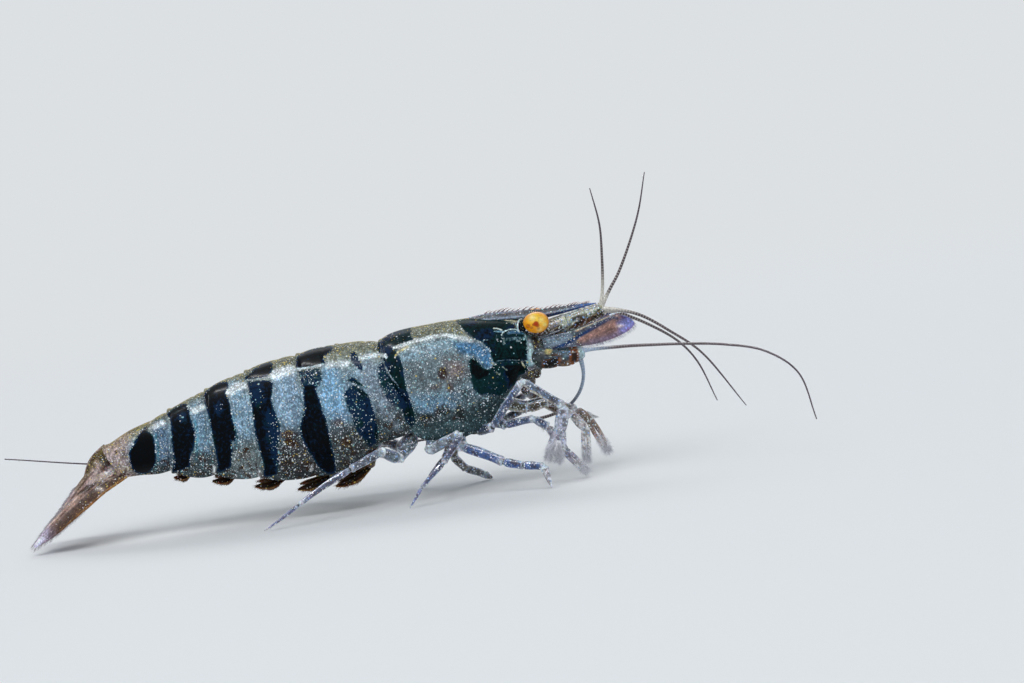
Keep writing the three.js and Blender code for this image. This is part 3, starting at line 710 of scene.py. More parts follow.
# How dark each band is: 1 is solid ink, and less lets the teal edges and specks through.
USUAL_DEPTH = 0.9
BAND_EDGE = 0.1
BAND_DEPTH = {
    "shield_rear": 0.72, "ring_1_front": 0.5, "ring_1_spot": 0.6, "ring_1_crescent": 0.62,
    "ring_2_lobe": 0.68, "shield_front_lower": 0.6, "shield_front_upper": 0.76, "ring_6_oval": 1.0,
    "ring_2_band_top": 0.5,
}
CLOUDS = {
    # colour, width of the edge, outline
    "gills": ("667276", 0.4, [
        (0.9, 6.3), (2.5, 6.6), (3.9, 6.4), (4.2, 5.6), (4.0, 4.8), (2.5, 4.6), (1.1, 4.9),
    ]),
    "shoulder": ("829CAA", 0.22, [
        (0.9, 6.6), (2.2, 7.0), (3.6, 6.95), (3.9, 6.5), (2.4, 6.35), (1.0, 6.2),
    ]),
    "gill_flush": ("726868", 0.35, [(2.9, 6.0), (3.6, 5.9), (3.7, 5.3), (3.0, 5.1)]),
    "gill_blue": ("6A8CA4", 0.25, [(1.3, 4.6), (2.2, 4.5), (3.1, 4.4), (3.0, 3.9), (2.1, 3.8), (1.4, 3.9)]),
    "teal_edge": ("33464A", 0.3, [
        (0.8, 3.6), (2.2, 3.5), (3.8, 3.7), (5.2, 4.2), (5.4, 3.4), (3.6, 2.4), (1.2, 2.4),
    ]),
    "blue_crescent": ("44739A", 0.14, [
        (3.35, 6.75), (4.0, 6.68), (4.5, 6.55), (4.92, 6.15), (4.97, 5.7), (4.75, 5.4), (4.5, 5.6),
        (4.4, 5.95), (4.0, 6.15), (3.6, 6.3),
    ]),
    "front_strip": ("8CB0B6", 0.1, [
        (6.5, 6.7), (6.75, 6.75), (6.95, 6.2), (6.95, 5.5), (6.75, 5.25), (6.45, 5.35),
    ]),
    "chin": ("625C60", 0.12, [(6.4, 5.25), (6.75, 5.2), (7.0, 5.3), (7.0, 4.6), (6.4, 4.5)]),
    "ring_1_grey": ("565E6A", 0.25, [
        (0.1, 6.3), (-0.3, 5.8), (-0.25, 5.0), (0.2, 4.3), (0.6, 4.5), (0.5, 5.5),
    ]),
    "ring_1_pale": ("8494A2", 0.25, [
        (-0.4, 6.8), (-0.9, 6.2), (-0.7, 5.0), (-0.1, 3.9), (0.5, 3.2), (0.0, 4.6),
    ]),
    "pale_b_c": ("7EA8C8", 0.22, [
        (-1.9, 6.4), (-2.5, 6.5), (-2.75, 5.0), (-2.5, 4.2), (-1.7, 4.0), (-1.8, 5.0),
    ]),
    "pale_c_d": ("8AA6BE", 0.22, [
        (-3.75, 6.5), (-4.8, 6.5), (-4.8, 5.2), (-4.7, 4.4), (-4.0, 4.1), (-3.8, 5.0),
    ]),
    "pale_d_e": ("86A4BA", 0.22, [(-6.1, 6.3), (-6.85, 6.3), (-6.8, 5.0), (-6.7, 4.1), (-6.1, 3.9)]),
    "pale_e_f": ("6E8CA2", 0.22, [(-8.05, 5.8), (-8.75, 5.6), (-8.6, 4.5), (-8.5, 3.7), (-8.0, 3.5)]),
    "pale_f_g": ("5E7892", 0.22, [(-9.85, 5.2), (-10.5, 5.0), (-10.4, 3.9), (-10.4, 3.3), (-9.9, 3.2)]),
    "side_plate_2": ("464C4E", 0.3, [(-0.7, 3.5), (-1.6, 3.7), (-2.5, 3.6), (-2.5, 2.2), (-1.4, 2.2)]),
    "side_plate_3": ("3B3E41", 0.35, [(-3.9, 3.9), (-4.3, 3.8), (-4.8, 3.5), (-5.0, 2.0), (-3.4, 1.8)]),
    "side_plate_4": ("727E80", 0.3, [(-5.9, 3.7), (-6.6, 3.6), (-7.1, 3.2), (-7.1, 2.1), (-5.8, 2.0)]),
    "skirt": ("4A6064", 0.14, [
        (0.75, 2.9), (1.2, 3.5), (1.65, 3.1), (2.4, 3.25), (3.2, 3.35), (3.5, 2.9), (2.2, 2.65),
    ]),
    "tail_pink": ("AE9A98", 0.4, [(-11.6, 5.2), (-13.6, 4.6), (-13.6, 2.4), (-11.9, 2.6), (-11.7, 3.6)]),
}
CLOUD_STRENGTH = 0.9
# The flank's colours from the lower edge up to the back.
FLANK_SHADES = ("3B4447", "485458", "56666E", "68808F", "7590A2", "7C95A5", "838C86", "686B5C")
FLANK = [colour(shade) for shade in FLANK_SHADES]
BROWN_CLOUDS = [
    # X, Z, radius
    (2.5, 3.8, 0.35), (1.75, 3.5, 0.3), (3.1, 3.3, 0.35), (3.4, 4.3, 0.3), (-4.45, 3.5, 0.6),
    (-4.3, 2.6, 0.5), (-2.1, 3.9, 0.35), (-1.9, 2.9, 0.5), (-6.4, 3.3, 0.4), (-6.6, 2.5, 0.45),
    (-8.4, 3.1, 0.35), (1.2, 6.3, 0.2), (-10.2, 3.2, 0.25), (0.3, 3.4, 0.4), (-0.7, 4.4, 0.25),
    (-12.2, 3.9, 0.3), (5.6, 3.9, 0.4),
]
# Places inside the bands where the ink is thin, and navy or teal shows.
THIN_INK = [
    # strength, width of the edge, outline
    (0.32, 0.3, [(-5.35, 4.8), (-4.7, 4.8), (-4.7, 2.4), (-5.2, 2.3), (-5.4, 3.4)]),
    (0.2, 0.25, [(-1.8, 5.3), (-1.2, 5.3), (-1.0, 4.0), (-1.3, 3.3), (-1.7, 3.8)]),
    (0.25, 0.2, [(-6.0, 6.3), (-5.4, 6.3), (-5.3, 5.3), (-5.9, 5.2)]),
    (0.35, 0.12, [(-9.3, 5.3), (-9.0, 5.35), (-8.95, 4.95), (-9.25, 4.95)]),
    (0.25, 0.12, [(-7.6, 5.5), (-7.25, 5.55), (-7.25, 5.1), (-7.6, 5.1)]),
    (0.15, 0.3, [(5.2, 7.0), (6.5, 6.9), (6.5, 6.4), (5.4, 6.3)]),
]
SPOTS = [
    # X, Z, half length, half height, colour, strength
    (2.74, 5.45, 0.22, 0.3, "3C2C2A", 0.95), (2.98, 4.78, 0.15, 0.22, "4A3834", 0.8),
    (2.3, 4.88, 0.2, 0.11, "54423E", 0.6), (2.55, 4.95, 0.1, 0.16, "4A3A36", 0.5),
    (3.45, 5.6, 0.12, 0.12, "5E5050", 0.5), (1.8, 5.35, 0.1, 0.1, "585650", 0.45),
    (1.75, 3.62, 0.3, 0.17, "23292A", 0.85), (2.5, 3.78, 0.34, 0.2, "242A2A", 0.85),
    (3.25, 3.62, 0.22, 0.3, "282C2A", 0.8), (1.32, 3.78, 0.16, 0.14, "2A3232", 0.6),
    (3.6, 4.4, 0.14, 0.3, "354040", 0.6), (4.3, 3.75, 0.4, 0.3, "2C3A3C", 0.5),
    (-4.5, 3.75, 0.34, 0.2, "4A2C1C", 0.7), (-4.25, 3.25, 0.2, 0.22, "3A2820", 0.7),
    (-2.15, 3.95, 0.22, 0.2, "4A3226", 0.7), (-1.95, 3.0, 0.28, 0.22, "43301E", 0.7),
    (-4.7, 2.6, 0.22, 0.3, "2C2A28", 0.6), (-6.45, 3.05, 0.25, 0.2, "43362C", 0.5),
    (-13.0, 3.75, 0.16, 0.13, "2C3A3C", 0.8),
]
PALE_LINES_AND_HIGHLIGHTS = [
    # colour, strength, width, line
    ("B4C2C8", 0.5, 0.05, [(0.1, 6.9), (0.2, 6.3), (0.4, 5.7), (0.7, 5.2)]),
    # a painted highlight: the white band along the shield's upper flank
    ("E8EEF0", 0.75, 0.13, [(0.75, 6.9), (1.5, 7.05), (2.0, 7.1), (3.0, 7.15), (3.5, 7.0), (4.2, 6.75)]),
    ("E2D4A0", 0.6, 0.07, [(0.75, 6.5), (0.9, 6.68), (1.35, 6.86)]),
    ("2F7CA8", 0.6, 0.06, [(5.3, 7.0), (5.5, 6.96), (5.68, 6.92)]),
    ("E4EEE8", 0.85, 0.05, [(5.25, 7.14), (5.42, 7.11), (5.6, 7.02)]),
    ("1F5C84", 0.85, 0.11, [(5.9, 6.84), (6.15, 6.85), (6.5, 6.76)]),
    ("C4DCDC", 0.85, 0.045, [(5.56, 6.8), (5.7, 6.93), (6.0, 6.99), (6.35, 6.94)]),
    ("E2DEC4", 0.8, 0.055, [(5.85, 7.44), (6.05, 7.4), (6.28, 7.3)]),
    ("8CA088", 0.5, 0.08, [(5.58, 6.74), (5.64, 6.55), (5.6, 6.38)]),
    ("8C90A8", 0.4, 0.06, [(5.32, 6.8), (5.36, 6.55)]),
    ("9CB4BC", 0.6, 0.04, [(4.72, 6.66), (4.92, 6.67)]),
    ("2E5A48", 0.5, 0.12, [(5.8, 6.56), (6.2, 6.55), (6.5, 6.5)]),
    ("A8B4A8", 0.5, 0.07, [(6.2, 6.42), (6.36, 6.4)]),
    ("7C9294", 0.55, 0.03, [(5.15, 5.66), (5.5, 5.66), (6.0, 5.6), (6.5, 5.5)]),
    ("B8BC94", 0.75, 0.05, [(5.42, 5.38), (5.58, 5.2)]),
    ("A8B088", 0.7, 0.045, [(5.12, 5.18), (5.25, 5.04)]),
    ("A09868", 0.6, 0.06, [(4.95, 5.62), (5.08, 5.5)]),
    ("C8C49A", 0.7, 0.07, [(6.3, 5.42), (6.4, 5.22)]),
    ("E6F0F2", 0.9, 0.07, [(6.34, 6.88), (6.33, 7.12), (6.42, 7.34), (6.6, 7.47)]),
    # the next eight lines are painted highlights: white lines and patches along the upper flank of the tail
    # rings
    ("D4E2E8", 0.8, 0.08, [(-3.7, 6.56), (-3.0, 6.56), (-2.5, 6.62)]),
    ("AEBEC4", 0.6, 0.06, [(-6.0, 6.38), (-5.5, 6.36), (-4.9, 6.38)]),
    ("F2F7FA", 0.85, 0.3, [(-4.75, 6.45), (-4.4, 6.52), (-4.0, 6.55)]),
    ("E6EEF2", 0.75, 0.22, [(-2.3, 6.5), (-1.9, 6.55), (-1.5, 6.5)]),
    ("E6EEF2", 0.75, 0.15, [(-0.8, 6.66), (-0.3, 6.7), (0.1, 6.66), (0.32, 6.58)]),
    ("F2F7FA", 0.85, 0.26, [(-6.85, 5.95), (-6.5, 6.15), (-6.2, 6.15)]),
    ("EEF4F6", 0.75, 0.22, [(-8.55, 5.35), (-8.15, 5.45)]),
    ("EEF4F6", 0.65, 0.2, [(-10.4, 4.9), (-10.05, 4.98)]),
    ("3A8296", 0.6, 0.09, [(-8.55, 4.9), (-8.5, 4.3), (-8.7, 3.2)]),
    ("3A8296", 0.6, 0.09, [(-10.4, 4.5), (-10.36, 3.9), (-10.5, 3.2)]),
    ("2E6E88", 0.5, 0.09, [(-6.8, 5.0), (-6.75, 4.2), (-6.9, 3.4)]),
    ("F2F6F6", 0.85, 0.1, [(-6.05, 2.0), (-6.0, 2.25)]),
    ("F2F6F6", 0.85, 0.1, [(-8.05, 2.45), (-7.98, 2.7)]),
    ("F2F6F6", 0.85, 0.1, [(-9.98, 2.8), (-9.95, 3.0)]),
    ("F2F6F6", 0.85, 0.09, [(-3.7, 2.0), (-3.6, 2.2)]),
]


def body_paint(points, height):
    """Tint and marks for points of the body, from their places and heights from lower edge to back."""
    x, z = side_view(points)
    clouds = [(shade, CLOUD_STRENGTH, *edge) for shade, *edge in CLOUDS.values()]
    tint = marked(through(FLANK, height), x, z, clouds)
    dark = np.zeros(x.shape)
    for name, outline in DARK_BANDS.items():
        dark = np.maximum(dark, BAND_DEPTH.get(name, USUAL_DEPTH) * patch(x, z, outline, BAND_EDGE))
    for strength, soft, outline in THIN_INK:
        dark = dark * (1 - strength * patch(x, z, outline, soft))
    # pale lines, among them painted highlights, lighten the tint and thin the dark bands under them
    for shade, strength, width, line in PALE_LINES_AND_HIGHLIGHTS:
        amount = strength * streak(x, z, line, width)
        tint = blend(tint, colour(shade), amount)
        dark = dark * (1 - amount)
    for centre_x, centre_z, long, high, shade, strength in SPOTS:
        away = np.hypot((x - centre_x) / long, (z - centre_z) / high)
        tint = blend(tint, colour(shade), strength * smooth(1.35, 0.6, away))
    # a gilt line along the back, wider and browner near the tail
    behind = smooth(-8.5, -11.5, x)
    gilt = (0.6 + 0.25 * behind) * np.exp(-((points[..., 1] / (0.2 + 0.25 * behind)) ** 2))
    gilt = gilt * smooth(0.8 - 0.15 * behind, 0.9 - 0.1 * behind, height)
    tint = blend(tint, blend(colour("A89A5C"), colour("84703A"), behind), gilt)
    dark = dark * (1 - 0.6 * gilt)
    brown = 0.7 * smooth(0.45, 0.15, height) * smooth(1.5, 0.0, x)
    for centre_x, centre_z, radius in BROWN_CLOUDS:
        brown = np.maximum(brown, np.exp(-((x - centre_x) ** 2 + (z - centre_z) ** 2) / radius**2))
    # most glitter low on the flank, along the back and where the tint is pale, and little of it on ink
    glitter = 0.7 + 0.45 * bump(height, 0.3, 0.2) + 0.5 * bump(height, 0.97, 0.1)
    glitter = glitter + 0.3 * smooth(0.2, 0.4, tint[..., 2])
    glitter = glitter * (1 - smooth(0.5, 0.88, dark)) * (1 - 0.5 * smooth(0.45, 0.6, dark))
    glitter = glitter * (1 - 0.7 * smooth(0.4, 0.6, dark) * smooth(3.5, 4.2, x))
    glitter = glitter * (1 - 0.5 * smooth(1.0, 2.0, x) * smooth(0.3, 0.15, height))
    return tint, graded(dark, np.clip(glitter, 0, 1), brown)


# ---- camera, light and floor -----------------------------------------------------------------------
AIM = to_frame([5.99, 0, 6.44])
VIEW_DISTANCE = 0.15367
ELEVATION, ROLL = math.radians(5), math.radians(-8)
LENS_LENGTH, SENSOR_WIDTH, NEAREST_SEEN = 120, 36, 0.01
LAMP_TARGET = Vector((0, 0, 0.005))
LAMPS = [
    # name, place, size along X, size across, power in watts
    ("key", (-0.05, -0.2, 0.3), 0.34, 0.34, 0.74),
    ("gleam", (-0.085, -0.05, 0.3), 0.33, 0.014, 1.3),
    ("rim", (0.05, 0.22, 0.22), 0.3, 0.12, 0.28),
]
BACKDROP = colour("DCE0E3")
AMBIENT = {"Color": colour("DDE6F0"), "Strength": 0.42}
PAPER = {"Base Color": colour("EEF0F1"), "Roughness": 0.9, "Specular IOR Level": 0.0}
FLOOR_RADIUS, FLOOR_CORNERS = 1.2, 96
FADE_START, FADE_END = 0.035, 0.16  # how far from the middle the floor turns into the backdrop


def studio_camera():
    """The camera at the photo's place, level with the right side of the animal and a little above it."""
    lens = bpy.data.cameras.new("camera")
    lens.lens = LENS_LENGTH
    lens.sensor_width = SENSOR_WIDTH
    lens.clip_start = NEAREST_SEEN
    camera = bpy.data.objects.new("camera", lens)
    towards = Vector((0, math.cos(ELEVATION), -math.sin(ELEVATION)))
    turn = towards.to_track_quat("-Z", "Y").to_matrix() @ Matrix.Rotation(ROLL, 3, "Z")
    camera.matrix_world = Matrix.Translation(Vector(AIM) - towards * VIEW_DISTANCE) @ turn.to_4x4()
    bpy.context.scene.collection.objects.link(camera)
    bpy.context.scene.camera = camera
    bpy.context.scene.view_settings.view_transform = "Standard"


def studio_lamps():
    """Soft lamps. The gleam is a strip that is only mirrored in the shell, and the key isn't mirrored."""
    for name, place, length, width, power in LAMPS:
        lamp = bpy.data.lights.new(name, "AREA")
        lamp.shape = "RECTANGLE"
        lamp.size = length
        lamp.size_y = width
        lamp.energy = power
        holder = bpy.data.objects.new(name, lamp)
        turn = (LAMP_TARGET - Vector(place)).to_track_quat("-Z", "Y").to_matrix()
        holder.matrix_world = Matrix.Translation(place) @ turn.to_4x4()
        holder.visible_camera = False
        holder.visible_diffuse = name != "gleam"
        holder.visible_glossy = name != "key"
        bpy.context.scene.collection.objects.link(holder)


def pale_where_seen(tree, lit, pale, result):
    """Joins two closures: pale for the camera and for all that mirrors it, and lit for other light."""
    path = tree.nodes.new("ShaderNodeLightPath")
    seen = path.outputs["Is Camera Ray"]
    for label in ("Is Glossy Ray", "Is Transmission Ray"):
        either = add_node(tree, "ShaderNodeMath", {0: seen, 1: path.outputs[label]}, operation="MAXIMUM")
        seen = either.outputs[0]
    choice = add_node(tree, "ShaderNodeMixShader", {"Fac": seen, 1: lit, 2: pale})
    tree.links.new(choice.outputs[0], result.inputs["Surface"])


def studio_world():
    """Even light from all round, and the plain backdrop where the camera or a reflection sees it."""
    world = bpy.data.worlds.new("studio")
    world.use_nodes = True
    tree = world.node_tree
    ambient = tree.nodes["Background"]
    for label, value in AMBIENT.items():
        put(tree, ambient.inputs[label], value)
    sheet = add_node(tree, "ShaderNodeBackground", {"Color": BACKDROP})
    pale_where_seen(tree, ambient.outputs[0], sheet.outputs[0], tree.nodes["World Output"])
    bpy.context.scene.world = world


def studio_floor():
    """A round pale floor. Away from the object it takes on the backdrop's even colour."""
    points = [(FLOOR_RADIUS * math.cos(a), FLOOR_RADIUS * math.sin(a), 0) for a in turns(FLOOR_CORNERS)]
    mesh = bpy.data.meshes.new("floor")
    mesh.from_pydata(points, [], [list(range(FLOOR_CORNERS))])
    sheet = bpy.data.materials.new("floor_paper")
    sheet.use_nodes = True
    tree = sheet.node_tree
    paper = tree.nodes["Principled BSDF"]
    for label, value in PAPER.items():
        put(tree, paper.inputs[label], value)
    place = tree.nodes.new("ShaderNodeTexCoord").outputs["Object"]
    distance = add_node(tree, "ShaderNodeVectorMath", {0: place}, operation="LENGTH").outputs["Value"]
    fading = {"Value": distance, "From Min": FADE_START, "From Max": FADE_END}
    fade = add_node(tree, "ShaderNodeMapRange", fading, interpolation_type="SMOOTHSTEP").outputs["Result"]
    lit = paper.outputs[0]
    glow = add_node(tree, "ShaderNodeEmission", {"Color": BACKDROP}).outputs[0]
    near_or_far = add_node(tree, "ShaderNodeMixShader", {"Fac": fade, 1: lit, 2: glow}).outputs[0]
    pale_where_seen(tree, lit, near_or_far, tree.nodes["Material Output"])
    mesh.materials.append(sheet)
    thing = bpy.data.objects.new("floor", mesh)
    bpy.context.scene.collection.objects.link(thing)
    return thing


studio_camera()
studio_lamps()
studio_world()
studio_floor()


# ---- back shield and tail rings --------------------------------------------------------------------
PLATE = 0.06
LINING = colour("4A4F50")


def shield_margin(height):
    """The curved rear margin of the back shield, which runs forward below the middle."""
    return 0.42 * bump(height, 0.3, 0.22)


def lobe_margin(height):
    """The front margin of the second tail ring, whose side plate reaches forward in a rounded lobe."""
    return 0.6 * bump(height, 0.38, 0.2) - 0.2 * bump(height, 0.75, 0.15)


SHIELD = [
    (6.72, 7.24, 6.5, 5.45, 1.0), (6.2, 7.42, 6.0, 4.7, 1.25), (5.3, 7.56, 5.1, 3.65, 1.55),
    (4.2, 7.7, 4.2, 2.95, 1.8), (3.2, 7.77, 3.3, 2.6, 1.95), (2.2, 7.73, 2.4, 2.55, 2.02),
    (1.3, 7.68, 1.6, 2.7, 2.02), (0.6, 7.56, 1.1, 2.95, 1.95), (0.05, 7.32, 0.95, 3.15, 1.85),
]


def shield_lobe(t, height):
    """How far the shield's front and rear margins are moved: back at the eye, and forward behind."""
    orbit = 0.3 * bump(height, 0.9, 0.12)
    return t**4 * shield_margin(height) - (1 - t) ** 8 * orbit


def shield_relief(points, t, height):
    """How far the back shield stands out: its grooves, swellings, spine and folded margins."""
    x, z = side_view(points)
    crest = 0.1 * smooth(3.2, 4.8, x) * bump(points[..., 1], 0, 0.13)
    groove = -0.05 * streak(x, z, [(4.3, 5.35), (4.8, 5.55), (5.11, 5.62), (5.7, 5.62), (6.54, 5.45)], 0.16)
    neck = -0.05 * streak(x, z, [(3.7, 7.2), (4.0, 6.8), (4.45, 6.2), (4.6, 5.7)], 0.3)
    gill = 0.05 * patch(x, z, [(0.9, 5.9), (2.4, 6.3), (3.9, 5.9), (4.0, 4.6), (2.6, 3.3), (1.1, 3.7)], 0.6)
    spine = 0.12 * np.exp(-((x - 6.55) ** 2) / 0.05 - (z - 6.05) ** 2 / 0.01)
    rib = 0.03 * smooth(0.045, 0.02, t) + 0.03 * bump(height, 0.03, 0.02) + 0.025 * smooth(0.965, 0.985, t)
    return crest + groove + neck + gill + spine + rib


RINGS = [
    [(-0.02, 7.3, 0.86, 3.1, 1.76), (-0.9, 7.42, 0.1, 2.95, 1.84), (-1.82, 7.41, -0.7, 2.85, 1.86)],
    [
        (-1.9, 7.42, -0.78, 2.75, 1.95), (-2.5, 7.4, -1.6, 2.15, 2.0), (-3.1, 7.34, -2.6, 1.8, 2.0),
        (-3.62, 7.22, -3.4, 1.8, 1.93),
    ],
    [
        (-3.7, 7.2, -3.48, 1.82, 1.88), (-4.4, 7.16, -4.2, 1.76, 1.9), (-5.2, 7.04, -5.1, 1.82, 1.86),
        (-5.7, 6.92, -5.6, 1.92, 1.8), (-6.02, 6.8, -5.92, 2.05, 1.72),
    ],
    [
        (-6.1, 6.76, -6.0, 2.1, 1.68), (-6.8, 6.62, -6.6, 2.08, 1.66), (-7.45, 6.43, -7.35, 2.2, 1.6),
        (-7.92, 6.22, -7.92, 2.42, 1.5),
    ],
    [
        (-8.0, 6.18, -8.0, 2.45, 1.46), (-8.6, 6.0, -8.6, 2.4, 1.42), (-9.25, 5.74, -9.3, 2.55, 1.34),
        (-9.7, 5.56, -9.83, 2.8, 1.22),
    ],
    [
        (-9.78, 5.52, -9.91, 2.85, 1.16), (-10.7, 5.16, -10.6, 2.75, 1.08), (-11.7, 4.84, -11.4, 2.8, 0.95),
        (-12.85, 4.28, -12.1, 2.8, 0.8),
    ],
]
TUCK = 0.06  # how deep a ring's front edge goes under the plate ahead of it
FRONT_OVERLAP, REAR_OVERLAP = 0.14, 0.1  # how much longer each ring is, so that the plates overlap
RING_ROWS, RING_COLUMNS = 56, 261
SHIELD_ROWS, SHIELD_COLUMNS = 150, 301


def first_ring_lobe(t, height):
    """The first ring follows the shield's margin in front, and the second ring's lobe behind."""
    return shield_margin(height) * (1 - t) + lobe_margin(height) * t


def second_ring_lobe(t, height):
    """The second ring has its lobe in front, and a straight rear edge."""
    return (1 - t) * lobe_margin(height)


def plate_piece(name, node, outer, height):
    """The painted shell plate that stands for a CAD node."""
    tint, marks = body_paint(outer, height)
    form = Form()
    add_plate(form, outer, PLATE, tint, marks, LINING)
    form.piece(name, SHELL, (node,), "shell")


def ring_plate(number):
    """A ring of the tail, tucked under the plate ahead. The second ring's lobes lie over the first."""
    lobe = {0: first_ring_lobe, 1: second_ring_lobe}.get(number)
    belly, inward = (0.42, 0.3) if number < 5 else (0.5, 0.9)
    t = np.linspace(0, 1, RING_ROWS)
    outer, height = wall(RINGS[number], t, np.linspace(-1, 1, RING_COLUMNS), belly, inward, lobe)
    t = t[:, None]
    front, rear = 1 - smooth(0, 0.12, t), smooth(0.92, 1, t)
    lobed = number == 1
    tuck = -TUCK * front * (smooth(0.62, 0.8, height) if lobed else 1)
    proud = 0.05 * front * (smooth(0.75, 0.6, height) if lobed else 0)
    rims = 0.03 * rear + 0.02 * bump(t, 0.97, 0.02) + 0.025 * bump(height, 0.02, 0.02)
    groove = -0.03 * bump(t, 0.3, 0.05) * smooth(0.35, 0.6, height)
    outer = outer + grid_normals(outer) * (tuck + proud + rims + groove)[..., None]
    outer[..., 0] += FRONT_OVERLAP * front - REAR_OVERLAP * rear
    plate_piece(f"ring_plate_{number + 1}", f"tail_ring_{number + 1}", outer, height)


def back_shield():
    """The carapace, from behind the eyes to its curved rear margin."""
    t = np.linspace(0, 1, SHIELD_ROWS)
    outer, height = wall(SHIELD, t, np.linspace(-1, 1, SHIELD_COLUMNS), 0.45, 0.35, shield_lobe)
    outer = outer + grid_normals(outer) * shield_relief(outer, t[:, None], height)[..., None]
    plate_piece("back_shield", "carapace", outer, height)


back_shield()
for number in range(len(RINGS)):
    ring_plate(number)


# ---- the soft body under the plates ----------------------------------------------------------------
CORE = [
    (7.62, 6.25, 7.5, 5.4, 0.55), (7.3, 6.55, 7.15, 5.0, 0.85), (6.8, 6.8, 6.6, 4.55, 0.97),
    (6.2, 7.15, 6.0, 4.4, 1.1), (5.3, 7.35, 5.1, 3.4, 1.35), (4.2, 7.45, 4.2, 2.65, 1.5),
    (3.2, 7.5, 3.3, 2.45, 1.6), (1.3, 7.4, 1.6, 2.5, 1.6), (0.2, 6.95, 0.9, 3.2, 1.55),
    (-0.9, 7.1, 0.0, 3.5, 1.6), (-1.8, 7.05, -0.9, 3.4, 1.65), (-2.6, 7.05, -2.0, 2.9, 1.7),
    (-3.6, 6.8, -3.5, 2.6, 1.65), (-4.4, 6.8, -4.3, 2.6, 1.65), (-6.0, 6.35, -5.95, 2.85, 1.5),
    (-7.4, 6.15, -7.3, 3.0, 1.4), (-8.0, 5.85, -8.0, 3.2, 1.28), (-9.7, 5.2, -9.8, 3.55, 1.05),
    (-10.7, 4.85, -10.6, 3.1, 0.95), (-12.0, 4.35, -11.7, 3.15, 0.78), (-12.6, 4.15, -12.2, 3.1, 0.6),
]
SKIN_ROWS, SKIN_COLUMNS = 420, 160
FACE_MARKS = [
    # colour, strength, width of the edge, outline
    ("5C6666", 0.85, 0.1, [(6.9, 6.7), (7.5, 6.6), (7.65, 6.1), (7.5, 5.5), (7.1, 5.0), (6.85, 5.2)]),
    ("C4DEE4", 0.85, 0.08, [(6.58, 6.35), (6.8, 6.4), (6.88, 6.0), (6.85, 5.5), (6.7, 5.35), (6.6, 5.8)]),
    ("5A4C48", 0.85, 0.1, [(6.9, 6.55), (7.15, 6.6), (7.2, 5.9), (7.05, 5.3), (6.9, 5.6)]),
    ("22282A", 0.85, 0.1, [(6.3, 7.1), (6.5, 7.35), (6.75, 7.4), (6.75, 6.7), (6.55, 6.6), (6.35, 6.8)]),
]


def soft_body():
    """One closed skin from the face to the root of the tail fan, with a folded belly between the legs."""
    t = np.linspace(0, 1, SKIN_ROWS)
    angle = turns(SKIN_COLUMNS)
    top_x, top_z, edge_x, edge_z, half = (row[:, None] for row in through(CORE, t).T)
    up, side = np.cos(angle), np.sin(angle)
    height = 0.45 + np.where(up > 0, 0.55 * np.abs(up) ** 0.95, -0.45 * np.abs(up) ** 0.7)
    x = edge_x + (top_x - edge_x) * height
    z = edge_z + (top_z - edge_z) * height
    y = half * np.sign(side) * np.abs(side) ** 0.92
    under = smooth(0.25, 0.0, height) * smooth(0.95, 0.6, t[:, None]) * smooth(0.02, 0.12, t[:, None])
    outer = np.stack([x, y, z + 0.16 * bump(y, 0, 0.22) * under], axis=-1)
    segment = np.abs((x[:, :1] % 1.0) - 0.5) * 2
    fold = -0.07 * bump(segment, 0.0, 0.3) * under
    # the face: a furrow below each eye, and a raised mouth field
    _, flank = side_view(outer)
    furrow = -0.07 * streak(x, flank, [(6.7, 6.65), (7.1, 6.5), (7.5, 6.45)], 0.16)
    cheek = 0.06 * patch(x, flank, [(6.7, 6.3), (7.3, 6.2), (7.4, 5.6), (6.8, 5.0), (6.6, 5.6)], 0.25)
    crease = -0.05 * streak(x, flank, [(7.15, 6.2), (7.0, 5.6), (7.05, 5.1)], 0.1)
    normals = grid_normals(np.concatenate([outer, outer[:, :1]], axis=1))[:, :-1]
    outer = outer + normals * (fold + furrow + cheek + crease)[..., None]
    tint, marks = body_paint(outer, np.clip(height, 0, 1) * np.ones_like(x))
    face = smooth(6.45, 6.6, x)
    belly = smooth(0.3, 0.1, height)
    face_marks = [(shade, strength * face, *edge) for shade, strength, *edge in FACE_MARKS]
    tint = marked(tint, x, flank, face_marks)
    tint = painted(tint, ("4E4A44", 0.7 * belly))
    marks[..., 0] *= 1 - smooth(6.6, 6.7, x)
    marks[..., 0] *= 1 - 0.85 * belly
    marks[..., 1] = np.maximum(marks[..., 1], 0.9 * face)
    form = Form()
    add_loft(form, outer, tint, marks)
    form.piece("skin", SKIN, ("thorax", "head"), "shell")


soft_body()


# ---- rostrum ---------------------------------------------------------------------------------------
ROSTRUM_UPPER = [(3.6, 7.72), (4.9, 7.85), (6.1, 7.82), (7.6, 7.71), (8.8, 7.7), (9.5, 7.68), (9.98, 7.65)]
ROSTRUM_LOWER = [(3.6, 7.55), (5.6, 7.34), (6.8, 7.24), (7.8, 7.3), (8.9, 7.44), (9.5, 7.54), (9.98, 7.61)]
ROSTRUM_TEETH = 26


